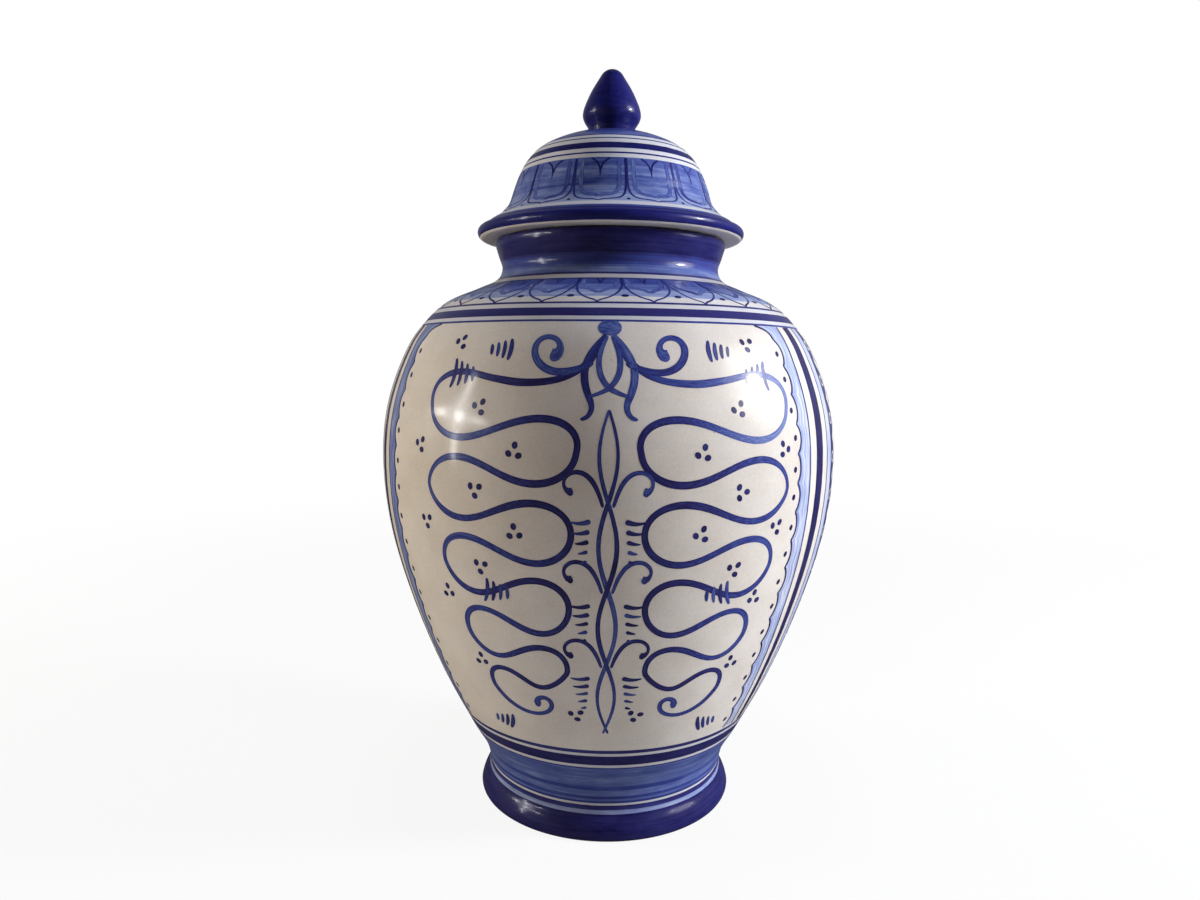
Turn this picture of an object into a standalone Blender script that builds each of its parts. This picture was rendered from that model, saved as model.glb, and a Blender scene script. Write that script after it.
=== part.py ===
"""A tall covered jar of glazed earthenware: a thrown pot, its domed lid, the ring that keeps the
lid in the neck, and the knob. Metres, +Z up, standing on z = 0 with its axis on the Z axis."""

import math

import bmesh
import bpy
from mathutils import Vector
from mathutils.geometry import interpolate_bezier

# The pot, measured on its outside. Its neck and its rolled rim hang from the height of its mouth.
JAR_HEIGHT = 0.3110
BELLY_RADIUS = 0.1250
BELLY_HEIGHT = 0.1930
NECK_RADIUS = 0.0600
NECK_DROP = 0.0155
RIM_FLARE = 0.0033
RIM_ROLL_DROP = 0.0040
WAIST_RADIUS = 0.0672
WAIST_HEIGHT = 0.0175
FOOT_RADIUS = 0.0721
FOOT_ROLL_HEIGHT = 0.0026

# The pot's wall, its mouth and its base
JAR_WALL = 0.0065
LIP_ROUND = 0.0018
FLOOR_THICKNESS = 0.0085
FLOOR_FILLET = 0.0120
FOOT_EDGE_ROUND = 0.0015
CONTACT_WIDTH = 0.0060
RECESS_DEPTH = 0.0055
RECESS_SLOPE = 0.0030

# The lid. Its radii follow the neck that it closes, and its heights count up from its seat, the
# underside of the brim.
BRIM_OVERHANG = 0.0101
BRIM_THICKNESS = 0.0068
DOME_STEP = 0.0038
DOME_FOOT_HEIGHT = 0.0195
DOME_TAPER = 0.0130
DOME_SHOULDER_DROP = 0.0124
DOME_HEIGHT = 0.0584
LID_WALL = 0.0055

# The ring below the lid that drops into the neck
COLLAR_PLAY = 0.0022
COLLAR_WALL = 0.0050
COLLAR_DEPTH = 0.0150
COLLAR_EDGE_ROUND = 0.0015

# The knob
KNOB_RADIUS = 0.0168
KNOB_RADIUS_HEIGHT = 0.0104
KNOB_BASE_RADIUS = 0.0130
KNOB_HEIGHT = 0.0348
KNOB_TIP_RADIUS = 0.0064
KNOB_TIP_RISE = 0.0035

# How closely touching pieces sit
SEAT_GAP = 0.0003

# Places and sizes that follow from those above
RIM_RADIUS = NECK_RADIUS + RIM_FLARE
COLLAR_RADIUS = NECK_RADIUS - JAR_WALL - COLLAR_PLAY
COLLAR_BORE_RADIUS = COLLAR_RADIUS - COLLAR_WALL
LID_SEAT_HEIGHT = JAR_HEIGHT + SEAT_GAP
KNOB_SEAT_HEIGHT = LID_SEAT_HEIGHT + DOME_HEIGHT + SEAT_GAP

# How finely the pieces are turned
JAR_SEGMENTS = 60
LID_SEGMENTS = 48
KNOB_SEGMENTS = 24
CURVE_SEGMENTS = 2
MERGE_DISTANCE = 0.00001

# Outlines, as (radius share, height share) of the way from one named ring to the next
FOOT_FLARE_SHARES = ((0.16, 0.16), (0.65, 0.52))
LOWER_WALL_SHARES = ((0.058, 0.07), (0.20, 0.152), (0.49, 0.345), (0.757, 0.575), (0.941, 0.80))
UPPER_WALL_SHARES = ((0.046, 0.29), (0.209, 0.575), (0.376, 0.725), (0.54, 0.815), (0.80, 0.889),
                     (0.955, 0.940))
NECK_FLARE_SHARES = ((0.55, 0.58),)
BRIM_SLOPE_SHARES = ((0.22, 0.19), (0.56, 0.42), (0.83, 0.72))
DOME_WALL_SHARES = ((0.20, 0.30), (0.56, 0.72))
DOME_TOP_SHARES = ((0.17, 0.32), (0.46, 0.665), (0.72, 0.88))
KNOB_FLARE_SHARES = ((0.16, 0.33), (0.80, 0.71))
KNOB_TAPER_SHARES = ((0.09, 0.205), (0.44, 0.58))


def clear_objects():
    """Remove whatever the open file holds."""
    for item in list(bpy.data.objects):
        bpy.data.objects.remove(item, do_unlink=True)


def make_material(name, color, roughness):
    """A glaze of one colour."""
    material = bpy.data.materials.new(name)
    material.use_nodes = True
    shader = material.node_tree.nodes["Principled BSDF"]
    shader.inputs["Base Color"].default_value = (*color, 1.0)
    shader.inputs["Roughness"].default_value = roughness
    shader.inputs["Metallic"].default_value = 0.0
    material.diffuse_color = (*color, 1.0)
    return material


def between(start, end, shares):
    """Points (radius, height) at the given shares of the way from start to end."""
    return [(start[0] + (end[0] - start[0]) * r, start[1] + (end[1] - start[1]) * z)
            for r, z in shares]


def smooth(stations):
    """A smooth curve through the stations, drawn as short chords."""
    knots = [Vector((r, z, 0.0)) for r, z in stations]
    ahead = [knots[min(i + 1, len(knots) - 1)] for i in range(len(knots))]
    behind = [knots[max(i - 1, 0)] for i in range(len(knots))]
    tangents = [(a - b).normalized() for a, b in zip(ahead, behind)]
    points = []
    for i in range(len(knots) - 1):
        reach = (knots[i + 1] - knots[i]).length / 3
        curve = interpolate_bezier(knots[i], knots[i] + tangents[i] * reach,
                                   knots[i + 1] - tangents[i + 1] * reach, knots[i + 1],
                                   CURVE_SEGMENTS + 1)
        points += [(p.x, p.y) for p in curve[:-1]]
    return points + [tuple(stations[-1])]


def quarter(start, end, steps, start_across):
    """A quarter of an ellipse from start to end, in steps chords. It leaves start level if
    start_across is true, and otherwise upright."""
    points = []
    for i in range(1, steps):
        angle = math.pi / 2 * i / steps
        first, second = math.sin(angle), 1 - math.cos(angle)
        r_share, z_share = (first, second) if start_across else (second, first)
        points += between(start, end, ((r_share, z_share),))
    return [start] + points + [end]


def cap(top_height, edge, steps):
    """A round end over the axis, from its top out to its edge, as steps chords of one arc."""
    rise = top_height - edge[1]
    bend = (edge[0] ** 2 + rise ** 2) / (2 * rise)
    sweep = math.atan2(edge[0], bend - rise)
    angles = [sweep * i / steps for i in range(steps)]
    return [(bend * math.sin(a), top_height - bend * (1 - math.cos(a))) for a in angles] + [edge]


def inset(points, thickness):
    """The line that lies inside a wall's outer line at the wall's thickness."""
    inner = []
    for i, (r, z) in enumerate(points):
        before, after = points[max(i - 1, 0)], points[min(i + 1, len(points) - 1)]
        along_r, along_z = after[0] - before[0], after[1] - before[1]
        length = math.hypot(along_r, along_z)
        inner.append((r + thickness * along_z / length, z - thickness * along_r / length))
    return inner


def turn(name, outline, segments, material, collection):
    """Revolve an outline that runs down its outer side into one closed piece."""
    outline = [p for i, p in enumerate(outline)
               if i == 0 or math.dist(p, outline[i - 1]) > MERGE_DISTANCE]
    mesh = bpy.data.meshes.new(name)
    shape = bmesh.new()
    corners = [shape.verts.new((r, 0.0, z)) for r, z in outline]
    for upper, lower in zip(corners, corners[1:]):
        shape.edges.new((upper, lower))
    if outline[0][0] > 0:
        shape.edges.new((corners[-1], corners[0]))
    shape.to_mesh(mesh)
    shape.free()
    item = bpy.data.objects.new(name, mesh)
    collection.objects.link(item)
    screw = item.modifiers.new("Screw", "SCREW")
    screw.axis = "Z"
    screw.steps = screw.render_steps = segments
    screw.use_merge_vertices = True
    screw.merge_threshold = MERGE_DISTANCE
    screw.use_smooth_shade = True
    mesh.materials.append(material)
    return item


def jar_outer_line():
    """The pot's outer line, from the rolled mouth down to the roll of its foot."""
    roll = (FOOT_RADIUS, FOOT_ROLL_HEIGHT)
    waist = (WAIST_RADIUS, WAIST_HEIGHT)
    belly = (BELLY_RADIUS, BELLY_HEIGHT)
    neck = (NECK_RADIUS, JAR_HEIGHT - NECK_DROP)
    rim = (RIM_RADIUS, JAR_HEIGHT - RIM_ROLL_DROP)
    stations = [roll] + between(roll, waist, FOOT_FLARE_SHARES)
    stations += [waist] + between(waist, belly, LOWER_WALL_SHARES)
    stations += [belly] + between(belly, neck, UPPER_WALL_SHARES)
    stations += [neck] + between(neck, rim, NECK_FLARE_SHARES) + [rim]
    return smooth(stations)[::-1]


def make_jar_body(collection):
    """The thrown pot: foot, belly, shoulder, neck and mouth in one wall."""
    wall = jar_outer_line()
    floor_height = RECESS_DEPTH + FLOOR_THICKNESS
    inner_wall = [(r, z) for r, z in inset(wall, JAR_WALL)[::CURVE_SEGMENTS]
                  if z > floor_height + FLOOR_FILLET][::-1]
    floor_edge = (inner_wall[0][0] - FLOOR_FILLET, floor_height)
    floor = [(0.0, floor_height)] + quarter(floor_edge, inner_wall[0], 3, True)

    mouth_radius = inner_wall[-1][0]
    lip_base = JAR_HEIGHT - LIP_ROUND
    lip = quarter((mouth_radius, lip_base), (mouth_radius + LIP_ROUND, JAR_HEIGHT), 2, False)
    lip += quarter((RIM_RADIUS - LIP_ROUND, JAR_HEIGHT), (RIM_RADIUS, lip_base), 2, True)

    contact_radius = FOOT_RADIUS - FOOT_EDGE_ROUND
    edge = quarter(wall[-1], (contact_radius, 0.0), 2, False)
    recess_radius = contact_radius - CONTACT_WIDTH
    recess = [(recess_radius, 0.0), (recess_radius - RECESS_SLOPE, RECESS_DEPTH),
              (0.0, RECESS_DEPTH)]
    outline = floor + inner_wall[1:] + lip + wall + edge[1:] + recess
    glaze = make_material("white_tin_glaze", (0.62, 0.60, 0.57), 0.22)
    return turn("jar_body", outline, JAR_SEGMENTS, glaze, collection)


def make_lid_shell(collection):
    """The domed cover with its rolled brim and the flat seat below it."""
    edge_round = BRIM_THICKNESS / 2
    brim_radius = RIM_RADIUS + BRIM_OVERHANG
    edge_radius = brim_radius - edge_round
    brim_top = (edge_radius, BRIM_THICKNESS)
    dome_foot = (NECK_RADIUS - DOME_STEP, DOME_FOOT_HEIGHT)
    shoulder = (dome_foot[0] - DOME_TAPER, DOME_HEIGHT - DOME_SHOULDER_DROP)
    pad = (KNOB_BASE_RADIUS, DOME_HEIGHT)
    stations = [brim_top] + between(brim_top, dome_foot, BRIM_SLOPE_SHARES)
    stations += [dome_foot] + between(dome_foot, shoulder, DOME_WALL_SHARES)
    stations += [shoulder] + between(shoulder, pad, DOME_TOP_SHARES) + [pad]
    dome = smooth(stations)[::-1]
    edge = quarter(brim_top, (brim_radius, edge_round), 3, True)
    edge += quarter((brim_radius, edge_round), (edge_radius, 0.0), 3, False)

    ceiling = DOME_HEIGHT - LID_WALL
    hollow = [(min(r, COLLAR_BORE_RADIUS), z) for r, z in inset(dome, LID_WALL)
              if DOME_FOOT_HEIGHT < z < ceiling][::-CURVE_SEGMENTS]
    outline = [(0.0, DOME_HEIGHT)] + dome + edge[1:] + [(COLLAR_BORE_RADIUS, 0.0)]
    outline += hollow + [(0.0, ceiling)]
    outline = [(r, LID_SEAT_HEIGHT + z) for r, z in outline]
    glaze = make_material("blue_washed_glaze", (0.10, 0.15, 0.42), 0.22)
    return turn("lid_shell", outline, LID_SEGMENTS, glaze, collection)


def make_lid_collar(collection):
    """The ring luted under the lid, which drops into the neck with some play."""
    top = LID_SEAT_HEIGHT - SEAT_GAP
    bottom = top - COLLAR_DEPTH
    round_start = bottom + COLLAR_EDGE_ROUND
    foot = quarter((COLLAR_RADIUS, round_start), (COLLAR_RADIUS - COLLAR_EDGE_ROUND, bottom),
                   2, False)
    foot += quarter((COLLAR_BORE_RADIUS + COLLAR_EDGE_ROUND, bottom),
                    (COLLAR_BORE_RADIUS, round_start), 2, True)
    outline = [(COLLAR_BORE_RADIUS, top), (COLLAR_RADIUS, top)] + foot
    glaze = make_material("plain_white_glaze", (0.60, 0.58, 0.54), 0.25)
    return turn("lid_collar", outline, LID_SEGMENTS, glaze, collection)


def make_finial(collection):
    """The pointed knob, standing flat on the lid's top."""
    base = (KNOB_BASE_RADIUS, 0.0)
    widest = (KNOB_RADIUS, KNOB_RADIUS_HEIGHT)
    tip = (KNOB_TIP_RADIUS, KNOB_HEIGHT - KNOB_TIP_RISE)
    stations = [base] + between(base, widest, KNOB_FLARE_SHARES)
    stations += [widest] + between(widest, tip, KNOB_TAPER_SHARES) + [tip]
    side = smooth(stations)[::-1]
    outline = cap(KNOB_HEIGHT, tip, 4) + side[1:] + [(0.0, 0.0)]
    outline = [(r, KNOB_SEAT_HEIGHT + z) for r, z in outline]
    glaze = make_material("cobalt_glaze", (0.03, 0.03, 0.22), 0.18)
    return turn("finial", outline, KNOB_SEGMENTS, glaze, collection)


def main():
    """Build the jar and its lid. The lid's pieces hang from an empty on the axis it lifts along."""
    clear_objects()
    collection = bpy.data.collections.new("covered_jar")
    bpy.context.scene.collection.children.link(collection)
    make_jar_body(collection)
    lid_lift = bpy.data.objects.new("lid_lift", None)
    collection.objects.link(lid_lift)
    for make_piece in (make_lid_shell, make_lid_collar, make_finial):
        make_piece(collection).parent = lid_lift


main()
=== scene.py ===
"""A tall blue-and-white covered jar of painted earthenware, in a plain white studio.

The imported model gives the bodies. This script lays the glazed and painted surfaces of the jar,
its lid, the ring below the lid and the knob over them. Metres, +Z up, the front towards -Y.
"""

import logging
import math
import random
from collections.abc import Callable
from dataclasses import dataclass, field
from enum import Enum
from functools import partial

import bpy
import numpy as np
from mathutils import Euler, Matrix

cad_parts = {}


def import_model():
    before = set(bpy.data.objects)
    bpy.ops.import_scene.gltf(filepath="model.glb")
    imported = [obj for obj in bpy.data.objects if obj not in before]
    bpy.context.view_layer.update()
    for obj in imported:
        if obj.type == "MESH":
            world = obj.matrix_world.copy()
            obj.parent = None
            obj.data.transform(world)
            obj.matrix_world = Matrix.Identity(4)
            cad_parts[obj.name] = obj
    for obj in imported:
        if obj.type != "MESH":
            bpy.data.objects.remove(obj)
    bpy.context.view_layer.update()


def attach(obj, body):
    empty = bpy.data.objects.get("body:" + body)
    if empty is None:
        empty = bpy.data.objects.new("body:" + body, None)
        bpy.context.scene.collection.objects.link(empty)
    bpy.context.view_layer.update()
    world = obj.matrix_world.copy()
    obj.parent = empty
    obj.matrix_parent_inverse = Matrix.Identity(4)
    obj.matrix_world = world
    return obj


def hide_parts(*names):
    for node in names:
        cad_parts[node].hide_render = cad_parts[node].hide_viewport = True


MM = 0.001
FULL_TURN = 2 * math.pi
# A radius below this is a point on the axis.
ON_AXIS = 0.001 * MM
# Angles in degrees from which edges stay sharp, on turned skins and on brushwork.
SHARP_SKIN, SHARP_STROKE = 50.0, 40.0
LOG = logging.getLogger("covered_jar")

# A point is (radius, height) on an outline, (right, up) in a flat drawing, and (turn, run) on a
# turned surface. A path is an array with a row for each point.
Point = tuple[float, float]
Array = np.ndarray
# The bends between two points, as shares of the way from one to the other.
Shares = tuple[Point, ...]
# Rows of (height in mm, least pigment, most pigment).
Bands = tuple[tuple[float, float, float], ...]
# Legs of a curl: for each its length in mm, and its bend at the start and at the end.
Legs = tuple[tuple[float, float, float], ...]
# Rows of (place, value), from low to high places.
Curve = tuple[Point, ...]
# A brush's width in mm and its load of pigment, from 0 to 1.
Brush = tuple[float, float]
Colour = tuple[float, float, float, float]
Piece = bpy.types.Object
Material = bpy.types.Material
Socket = bpy.types.NodeSocket
Adder = Callable[..., Socket]


class Pigment(Enum):
    """Fired colours as sRGB hex: the tin glaze, and cobalt from the thinnest wash to the
    thickest."""

    GROUND = "#d0c9be"
    GROUND_THIN = "#bdb2a4"
    FAINT = "#b3b9c9"
    PALE = "#8591b6"
    WASH = "#53629a"
    MIDDLE = "#2f3c82"
    COBALT = "#191a60"
    DEEP = "#0a0a44"
    INK = "#292761"
    INK_DEEP = "#1b1845"
    SPECK = "#7d5a42"
    CLAY = "#b26a42"
    CLAY_DARK = "#7f4629"


class Touch(Enum):
    """How a brush is pressed along a stroke."""

    EVEN = "even"
    SWELL = "swell"
    DROP = "drop"
    TICK = "tick"

    def press(self, share: Array) -> Array:
        """How hard the brush is pressed.

        Args:
            share: places along the stroke, as shares of the way.

        Returns:
            The pressure at each, as a share of the full width.
        """
        lightest, pool_start, pool_reach = 0.5, 0.84, 0.12
        swell = np.sin(math.pi * share)
        early = np.sin(math.pi * np.minimum(share * 1.25, 1))
        pool = np.clip((share - pool_start) / pool_reach, 0, 1) ** 2
        return {Touch.EVEN: np.ones_like(share),
                Touch.SWELL: lightest + (1 - lightest) * swell ** 0.8,
                Touch.DROP: lightest + 0.22 * early + 0.85 * pool,
                Touch.TICK: 1 - 0.7 * share ** 1.4}[self]


class Zone(Enum):
    """What covers a stretch of a turned outline. The values are material places on the piece."""

    PAINTED = 0
    PLAIN = 1
    BARE = 2


# The points of a closed outline, each with what covers the stretch that starts there.
Outline = list[tuple[Point, Zone]]
Finishes = dict[Zone, Material]


def linear(colour: Pigment | str) -> Colour:
    """Turn an sRGB colour into linear light.

    Args:
        colour: the colour, as a pigment or as #rrggbb.

    Returns:
        Linear red, green, blue and an alpha of one.
    """
    code = colour.value if isinstance(colour, Pigment) else colour
    shares = [int(code[i:i + 2], 16) / 255 for i in (1, 3, 5)]
    red, green, blue = (c / 12.92 if c <= 0.04045 else ((c + 0.055) / 1.055) ** 2.4 for c in shares)
    return red, green, blue, 1.0


def add_node(tree: bpy.types.NodeTree, kind: str, inputs: dict | None = None,
             out: str | int = 0, **settings: object) -> Socket | None:
    """Add a shader node to a tree, set it up and feed its inputs.

    Args:
        tree: the node tree.
        kind: the node's type name, without the ShaderNode that it starts with.
        inputs: for each input, by name or place, a value to set or a socket to link.
        out: the output to return, by name or place.
        settings: the node's own properties.

    Returns:
        That output, or None for a node without outputs.
    """
    node = tree.nodes.new("ShaderNode" + kind)
    for name, value in settings.items():
        setattr(node, name, value)
    for key, value in (inputs or {}).items():
        if isinstance(value, Socket):
            tree.links.new(value, node.inputs[key])
        else:
            node.inputs[key].default_value = value
    return node.outputs[out] if node.outputs else None


def fill_ramp(output: Socket, stops: list[tuple[float, Colour]],
              interpolation: str = "LINEAR") -> None:
    """Give a colour ramp its stops.

    Args:
        output: the ramp's output.
        stops: place and linear colour of each stop, in order.
        interpolation: how the ramp runs between stops.
    """
    ramp = output.node.color_ramp
    ramp.interpolation = interpolation
    while len(ramp.elements) < len(stops):
        ramp.elements.new(1.0)
    for element, (place, colour) in zip(ramp.elements, stops):
        element.position, element.color = place, colour


def blank_material(name: str) -> tuple[Material, Adder]:
    """Start a material.

    Args:
        name: its name.

    Returns:
        The material, without nodes, and the function that adds them.
    """
    material = bpy.data.materials.new(name)
    material.use_nodes = True
    material.node_tree.nodes.clear()
    return material, partial(add_node, material.node_tree)


def place_object(name: str, data: bpy.types.ID) -> bpy.types.Object:
    """Put a mesh, lamp or camera in the scene.

    Args:
        name: the object's name.
        data: what it shows.

    Returns:
        The object.
    """
    placed = bpy.data.objects.new(name, data)
    bpy.context.scene.collection.objects.link(placed)
    return placed


def make_piece(name: str, verts: list, faces: list, finishes: list[Material],
               sharp: float = 180.0) -> Piece:
    """Make a smooth piece.

    Args:
        name: its name.
        verts: its points.
        faces: the points of each face, by number.
        finishes: its materials.
        sharp: the angle in degrees from which an edge between faces stays sharp.

    Returns:
        The piece.
    """
    mesh = bpy.data.meshes.new(name)
    mesh.from_pydata(verts, [], faces)
    for finish in finishes:
        mesh.materials.append(finish)
    mesh.shade_smooth()
    mesh.set_sharp_from_angle(angle=math.radians(sharp))
    mesh.update()
    return place_object(name, mesh)


# --- Turned surfaces -----------------------------------------------------------------------------

def smooth_points(stations: list[Point], chords: int, step: float = 0.0) -> Array:
    """Draw a smooth curve through stations.

    Args:
        stations: the points that the curve passes through.
        chords: how many straight pieces to draw between two of them.
        step: the length of a piece, where they are far apart; chords is then the least number.

    Returns:
        The curve's points, one row each.
    """
    knots = np.array(stations, float)
    tangents = np.roll(knots, -1, 0) - np.roll(knots, 1, 0)
    tangents[0], tangents[-1] = knots[1] - knots[0], knots[-1] - knots[-2]
    tangents /= np.linalg.norm(tangents, axis=1, keepdims=True)
    rows = []
    for i in range(len(knots) - 1):
        gap = np.linalg.norm(knots[i + 1] - knots[i])
        count = max(chords, round(gap / step)) if step else chords
        share = np.linspace(0, 1, count, endpoint=False)[:, None]
        rest, reach = 1 - share, gap / 3
        rows.append(rest ** 3 * knots[i] + 3 * rest ** 2 * share * (knots[i] + tangents[i] * reach)
                    + 3 * rest * share ** 2 * (knots[i + 1] - tangents[i + 1] * reach)
                    + share ** 3 * knots[i + 1])
    return np.vstack(rows + [knots[-1:]])


def between(start: Point, end: Point, shares: Shares) -> list[Point]:
    """Points at the given shares of the way from start to end."""
    return [(start[0] + (end[0] - start[0]) * r, start[1] + (end[1] - start[1]) * z)
            for r, z in shares]


def chain(parts: tuple[Point | Shares, ...]) -> list[Point]:
    """Stations along an outline.

    Args:
        parts: its main points, and between each two of them the bends on the way.

    Returns:
        All its points, in order.
    """
    points = [parts[0]]
    for start, shares, end in zip(parts[::2], parts[1::2], parts[2::2]):
        points += between(start, end, shares) + [end]
    return points


def cover(points: list[Point], zone: Zone) -> Outline:
    """A stretch of outline with what covers it."""
    return [(tuple(p), zone) for p in points]


def quarter(start: Point, end: Point, steps: int, start_across: bool) -> list[Point]:
    """A quarter of an ellipse from start to end.

    Args:
        start: its first point, as radius and height.
        end: its last point.
        steps: how many chords it has.
        start_across: true to leave start level, false to leave it upright.

    Returns:
        Its points, both ends among them.
    """
    angles = [math.pi / 2 * i / steps for i in range(steps + 1)]
    shares = [(math.sin(a), 1 - math.cos(a)) for a in angles]
    return between(start, end, shares if start_across else [pair[::-1] for pair in shares])


def cap(top: float, edge: Point, steps: int) -> list[Point]:
    """A round end over the axis, as chords of one arc.

    Args:
        top: the height of its top.
        edge: its last point, as radius and height.
        steps: how many chords it has.

    Returns:
        Its points, from the top out to the edge.
    """
    rise = top - edge[1]
    bend = (edge[0] ** 2 + rise ** 2) / (2 * rise)
    sweep = math.atan2(edge[0], bend - rise)
    angles = [sweep * i / steps for i in range(steps)]
    return [(bend * math.sin(a), top - bend * (1 - math.cos(a))) for a in angles] + [edge]


def inset(points: Array, thickness: float) -> list[Point]:
    """The line inside a wall's outer line.

    Args:
        points: the outer line, from low to high.
        thickness: the wall's thickness.

    Returns:
        The inner line, point by point.
    """
    along = np.gradient(points, axis=0)
    along /= np.linalg.norm(along, axis=1, keepdims=True)
    return [tuple(p) for p in points + thickness * np.column_stack((along[:, 1], -along[:, 0]))]


@dataclass
class TurnedLine:
    """The outer line of a turned piece, from low to high, and the surface that it sweeps.

    Places on the surface are a turn, in radians from the front towards the right, and a run, the
    length up the line in metres.
    """

    stations: list[Point]
    low_calm: float
    high_calm: float
    chords: int = 5
    step: float = 1.7 * MM
    # The spiral of the fingers, which comes and goes up the wall.
    ridge_pitch: float = 9.5 * MM
    ridge_height: float = 0.03 * MM
    ridge_fade: float = 0.4
    ridge_change: float = 13 * MM
    # The slow oval, where it starts, and how far up the wall its lobes turn by one radian.
    out_of_round: float = 0.06 * MM
    oval_start: float = 0.7
    oval_twist: float = 50 * MM
    # Keeps the wall, and the brushwork that stands proud of it, inside the line.
    clearance: float = 0.22 * MM
    calm_reach: float = 12 * MM

    def __post_init__(self) -> None:
        """Draw the line and measure it."""
        self.points = smooth_points(self.stations, self.chords, self.step)
        steps = np.linalg.norm(np.diff(self.points, axis=0), axis=1)
        self.runs = np.concatenate(([0.0], np.cumsum(steps)))

    def radius(self, run: Array) -> Array:
        """The line's radius at a run."""
        return np.interp(run, self.runs, self.points[:, 0])

    def height(self, run: Array) -> Array:
        """The line's height at a run."""
        return np.interp(run, self.runs, self.points[:, 1])

    def run_at(self, height_mm: float) -> float:
        """The run at a height, which is given in millimetres."""
        return float(np.interp(height_mm * MM, self.points[:, 1], self.runs))

    def hand(self, turn: Array, height: Array) -> Array:
        """How far the thrower's hand left the wall off a true circle: a slow oval and the faint
        spiral of the fingers. Both die out towards the seat and the foot.

        Args:
            turn: places round the piece.
            height: heights of those places.

        Returns:
            The offset outwards, in metres.
        """
        calm = np.clip((height - self.low_calm) / self.calm_reach, 0, 1)
        calm = calm * np.clip((self.high_calm - height) / self.calm_reach, 0, 1)
        oval = np.cos(2 * turn + self.oval_start) + np.cos(3 * turn + height / self.oval_twist) / 2
        spiral = np.sin(FULL_TURN * height / self.ridge_pitch - turn) * (
            1 - self.ridge_fade + self.ridge_fade * np.sin(height / self.ridge_change))
        return calm * (self.out_of_round * oval + self.ridge_height * spiral - self.clearance)

    def place(self, turn: Array, run: Array, lift: Array | float) -> Array:
        """Points on the surface, or at a distance from it.

        Args:
            turn: places round the piece.
            run: places up its line.
            lift: distance outwards from the surface.

        Returns:
            An array whose last axis is x, y, z.
        """
        step = 0.2 * MM
        rise = self.height(run + step) - self.height(run - step)
        spread = self.radius(run + step) - self.radius(run - step)
        size = np.hypot(rise, spread)
        height = self.height(run)
        radius = self.radius(run) + self.hand(turn, height) + lift * rise / size
        return np.stack((radius * np.sin(turn), -radius * np.cos(turn),
                         height - lift * spread / size), -1)


def turn_skin(name: str, outline: Outline, segments: int, hand: TurnedLine,
              finishes: Finishes) -> Piece:
    """Sweep an outline round the axis into one closed piece.

    Args:
        name: the piece's name.
        outline: its points, down the outer side and back up inside.
        segments: how many straight sides the round has.
        hand: the line whose unevenness the painted rings take.
        finishes: the material for each zone.

    Returns:
        The piece.
    """
    turns = np.arange(segments) * FULL_TURN / segments
    verts: list[tuple[float, float, float]] = []
    rings: list[list[int]] = []
    for index, ((radius, height), zone) in enumerate(outline):
        start = len(verts)
        if radius < ON_AXIS:
            verts.append((0.0, 0.0, height))
            rings.append([start] * segments)
            continue
        painted = Zone.PAINTED in (zone, outline[index - 1][1])
        radii = radius + (hand.hand(turns, np.full(segments, height)) if painted else 0 * turns)
        verts += list(zip(radii * np.sin(turns), -radii * np.cos(turns), [height] * segments))
        rings.append(list(range(start, start + segments)))
    faces, places = [], []
    closed = outline[0][0][0] > ON_AXIS
    for i in range(len(rings) if closed else len(rings) - 1):
        upper, lower = rings[i], rings[(i + 1) % len(rings)]
        for j in range(segments):
            k = (j + 1) % segments
            face = list(dict.fromkeys((upper[j], lower[j], lower[k], upper[k])))
            if len(face) > 2:
                faces.append(face)
                places.append(outline[i][1].value)
    piece = make_piece(name, verts, faces, [finishes[zone] for zone in Zone], SHARP_SKIN)
    piece.data.polygons.foreach_set("material_index", places)
    piece.data.update()
    return piece


# --- Brushwork -----------------------------------------------------------------------------------

def read_curve(curve: Curve, places: Array) -> Array:
    """What a curve says at some places."""
    return np.interp(places, *np.transpose(curve))


def curl(start: Point, heading: float, legs: Legs) -> Array:
    """A brush line drawn by turning as it goes.

    Args:
        start: where it starts, in millimetres right and up.
        heading: its first direction, in degrees from the right towards up.
        legs: for each leg its length in millimetres, and its bend at the start and at the end in
            degrees for each millimetre, positive to the left.

    Returns:
        Its points in millimetres.
    """
    step = 0.4
    x, y = start
    angle = math.radians(heading)
    points = [(x, y)]
    for length, first, last in legs:
        count = max(2, round(length / step))
        stride = length / count
        for i in range(count):
            bend = math.radians(first + (last - first) * (i + 0.5) / count) * stride / 2
            angle += bend
            x, y = x + math.cos(angle) * stride, y + math.sin(angle) * stride
            angle += bend
            points.append((x, y))
    return np.array(points)


def meander(first: float, last: float, swing: float) -> Array:
    """A winding line of even turns, like a slow river's.

    Args:
        first: where it starts, in periods; whole numbers are its inner turns.
        last: where it ends.
        swing: the steepest direction it takes off its course, in radians.

    Returns:
        Its points: from -1 at the inner turns to 1 at the outer, and periods along its course.
    """
    samples = 1200
    along = np.arange(int(last * samples) + samples) / samples
    angle = swing * np.sin(FULL_TURN * (along + 0.5 / samples))
    across = np.concatenate(([0.0], np.cumsum(np.sin(angle))[:-1]))
    course = np.concatenate(([0.0], np.cumsum(np.cos(angle))[:-1]))
    across = across / across[:samples].max() * 2 - 1
    course = course / course[samples]
    kept = (along >= first) & (along <= last)
    return np.column_stack((across, course))[kept]


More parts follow.
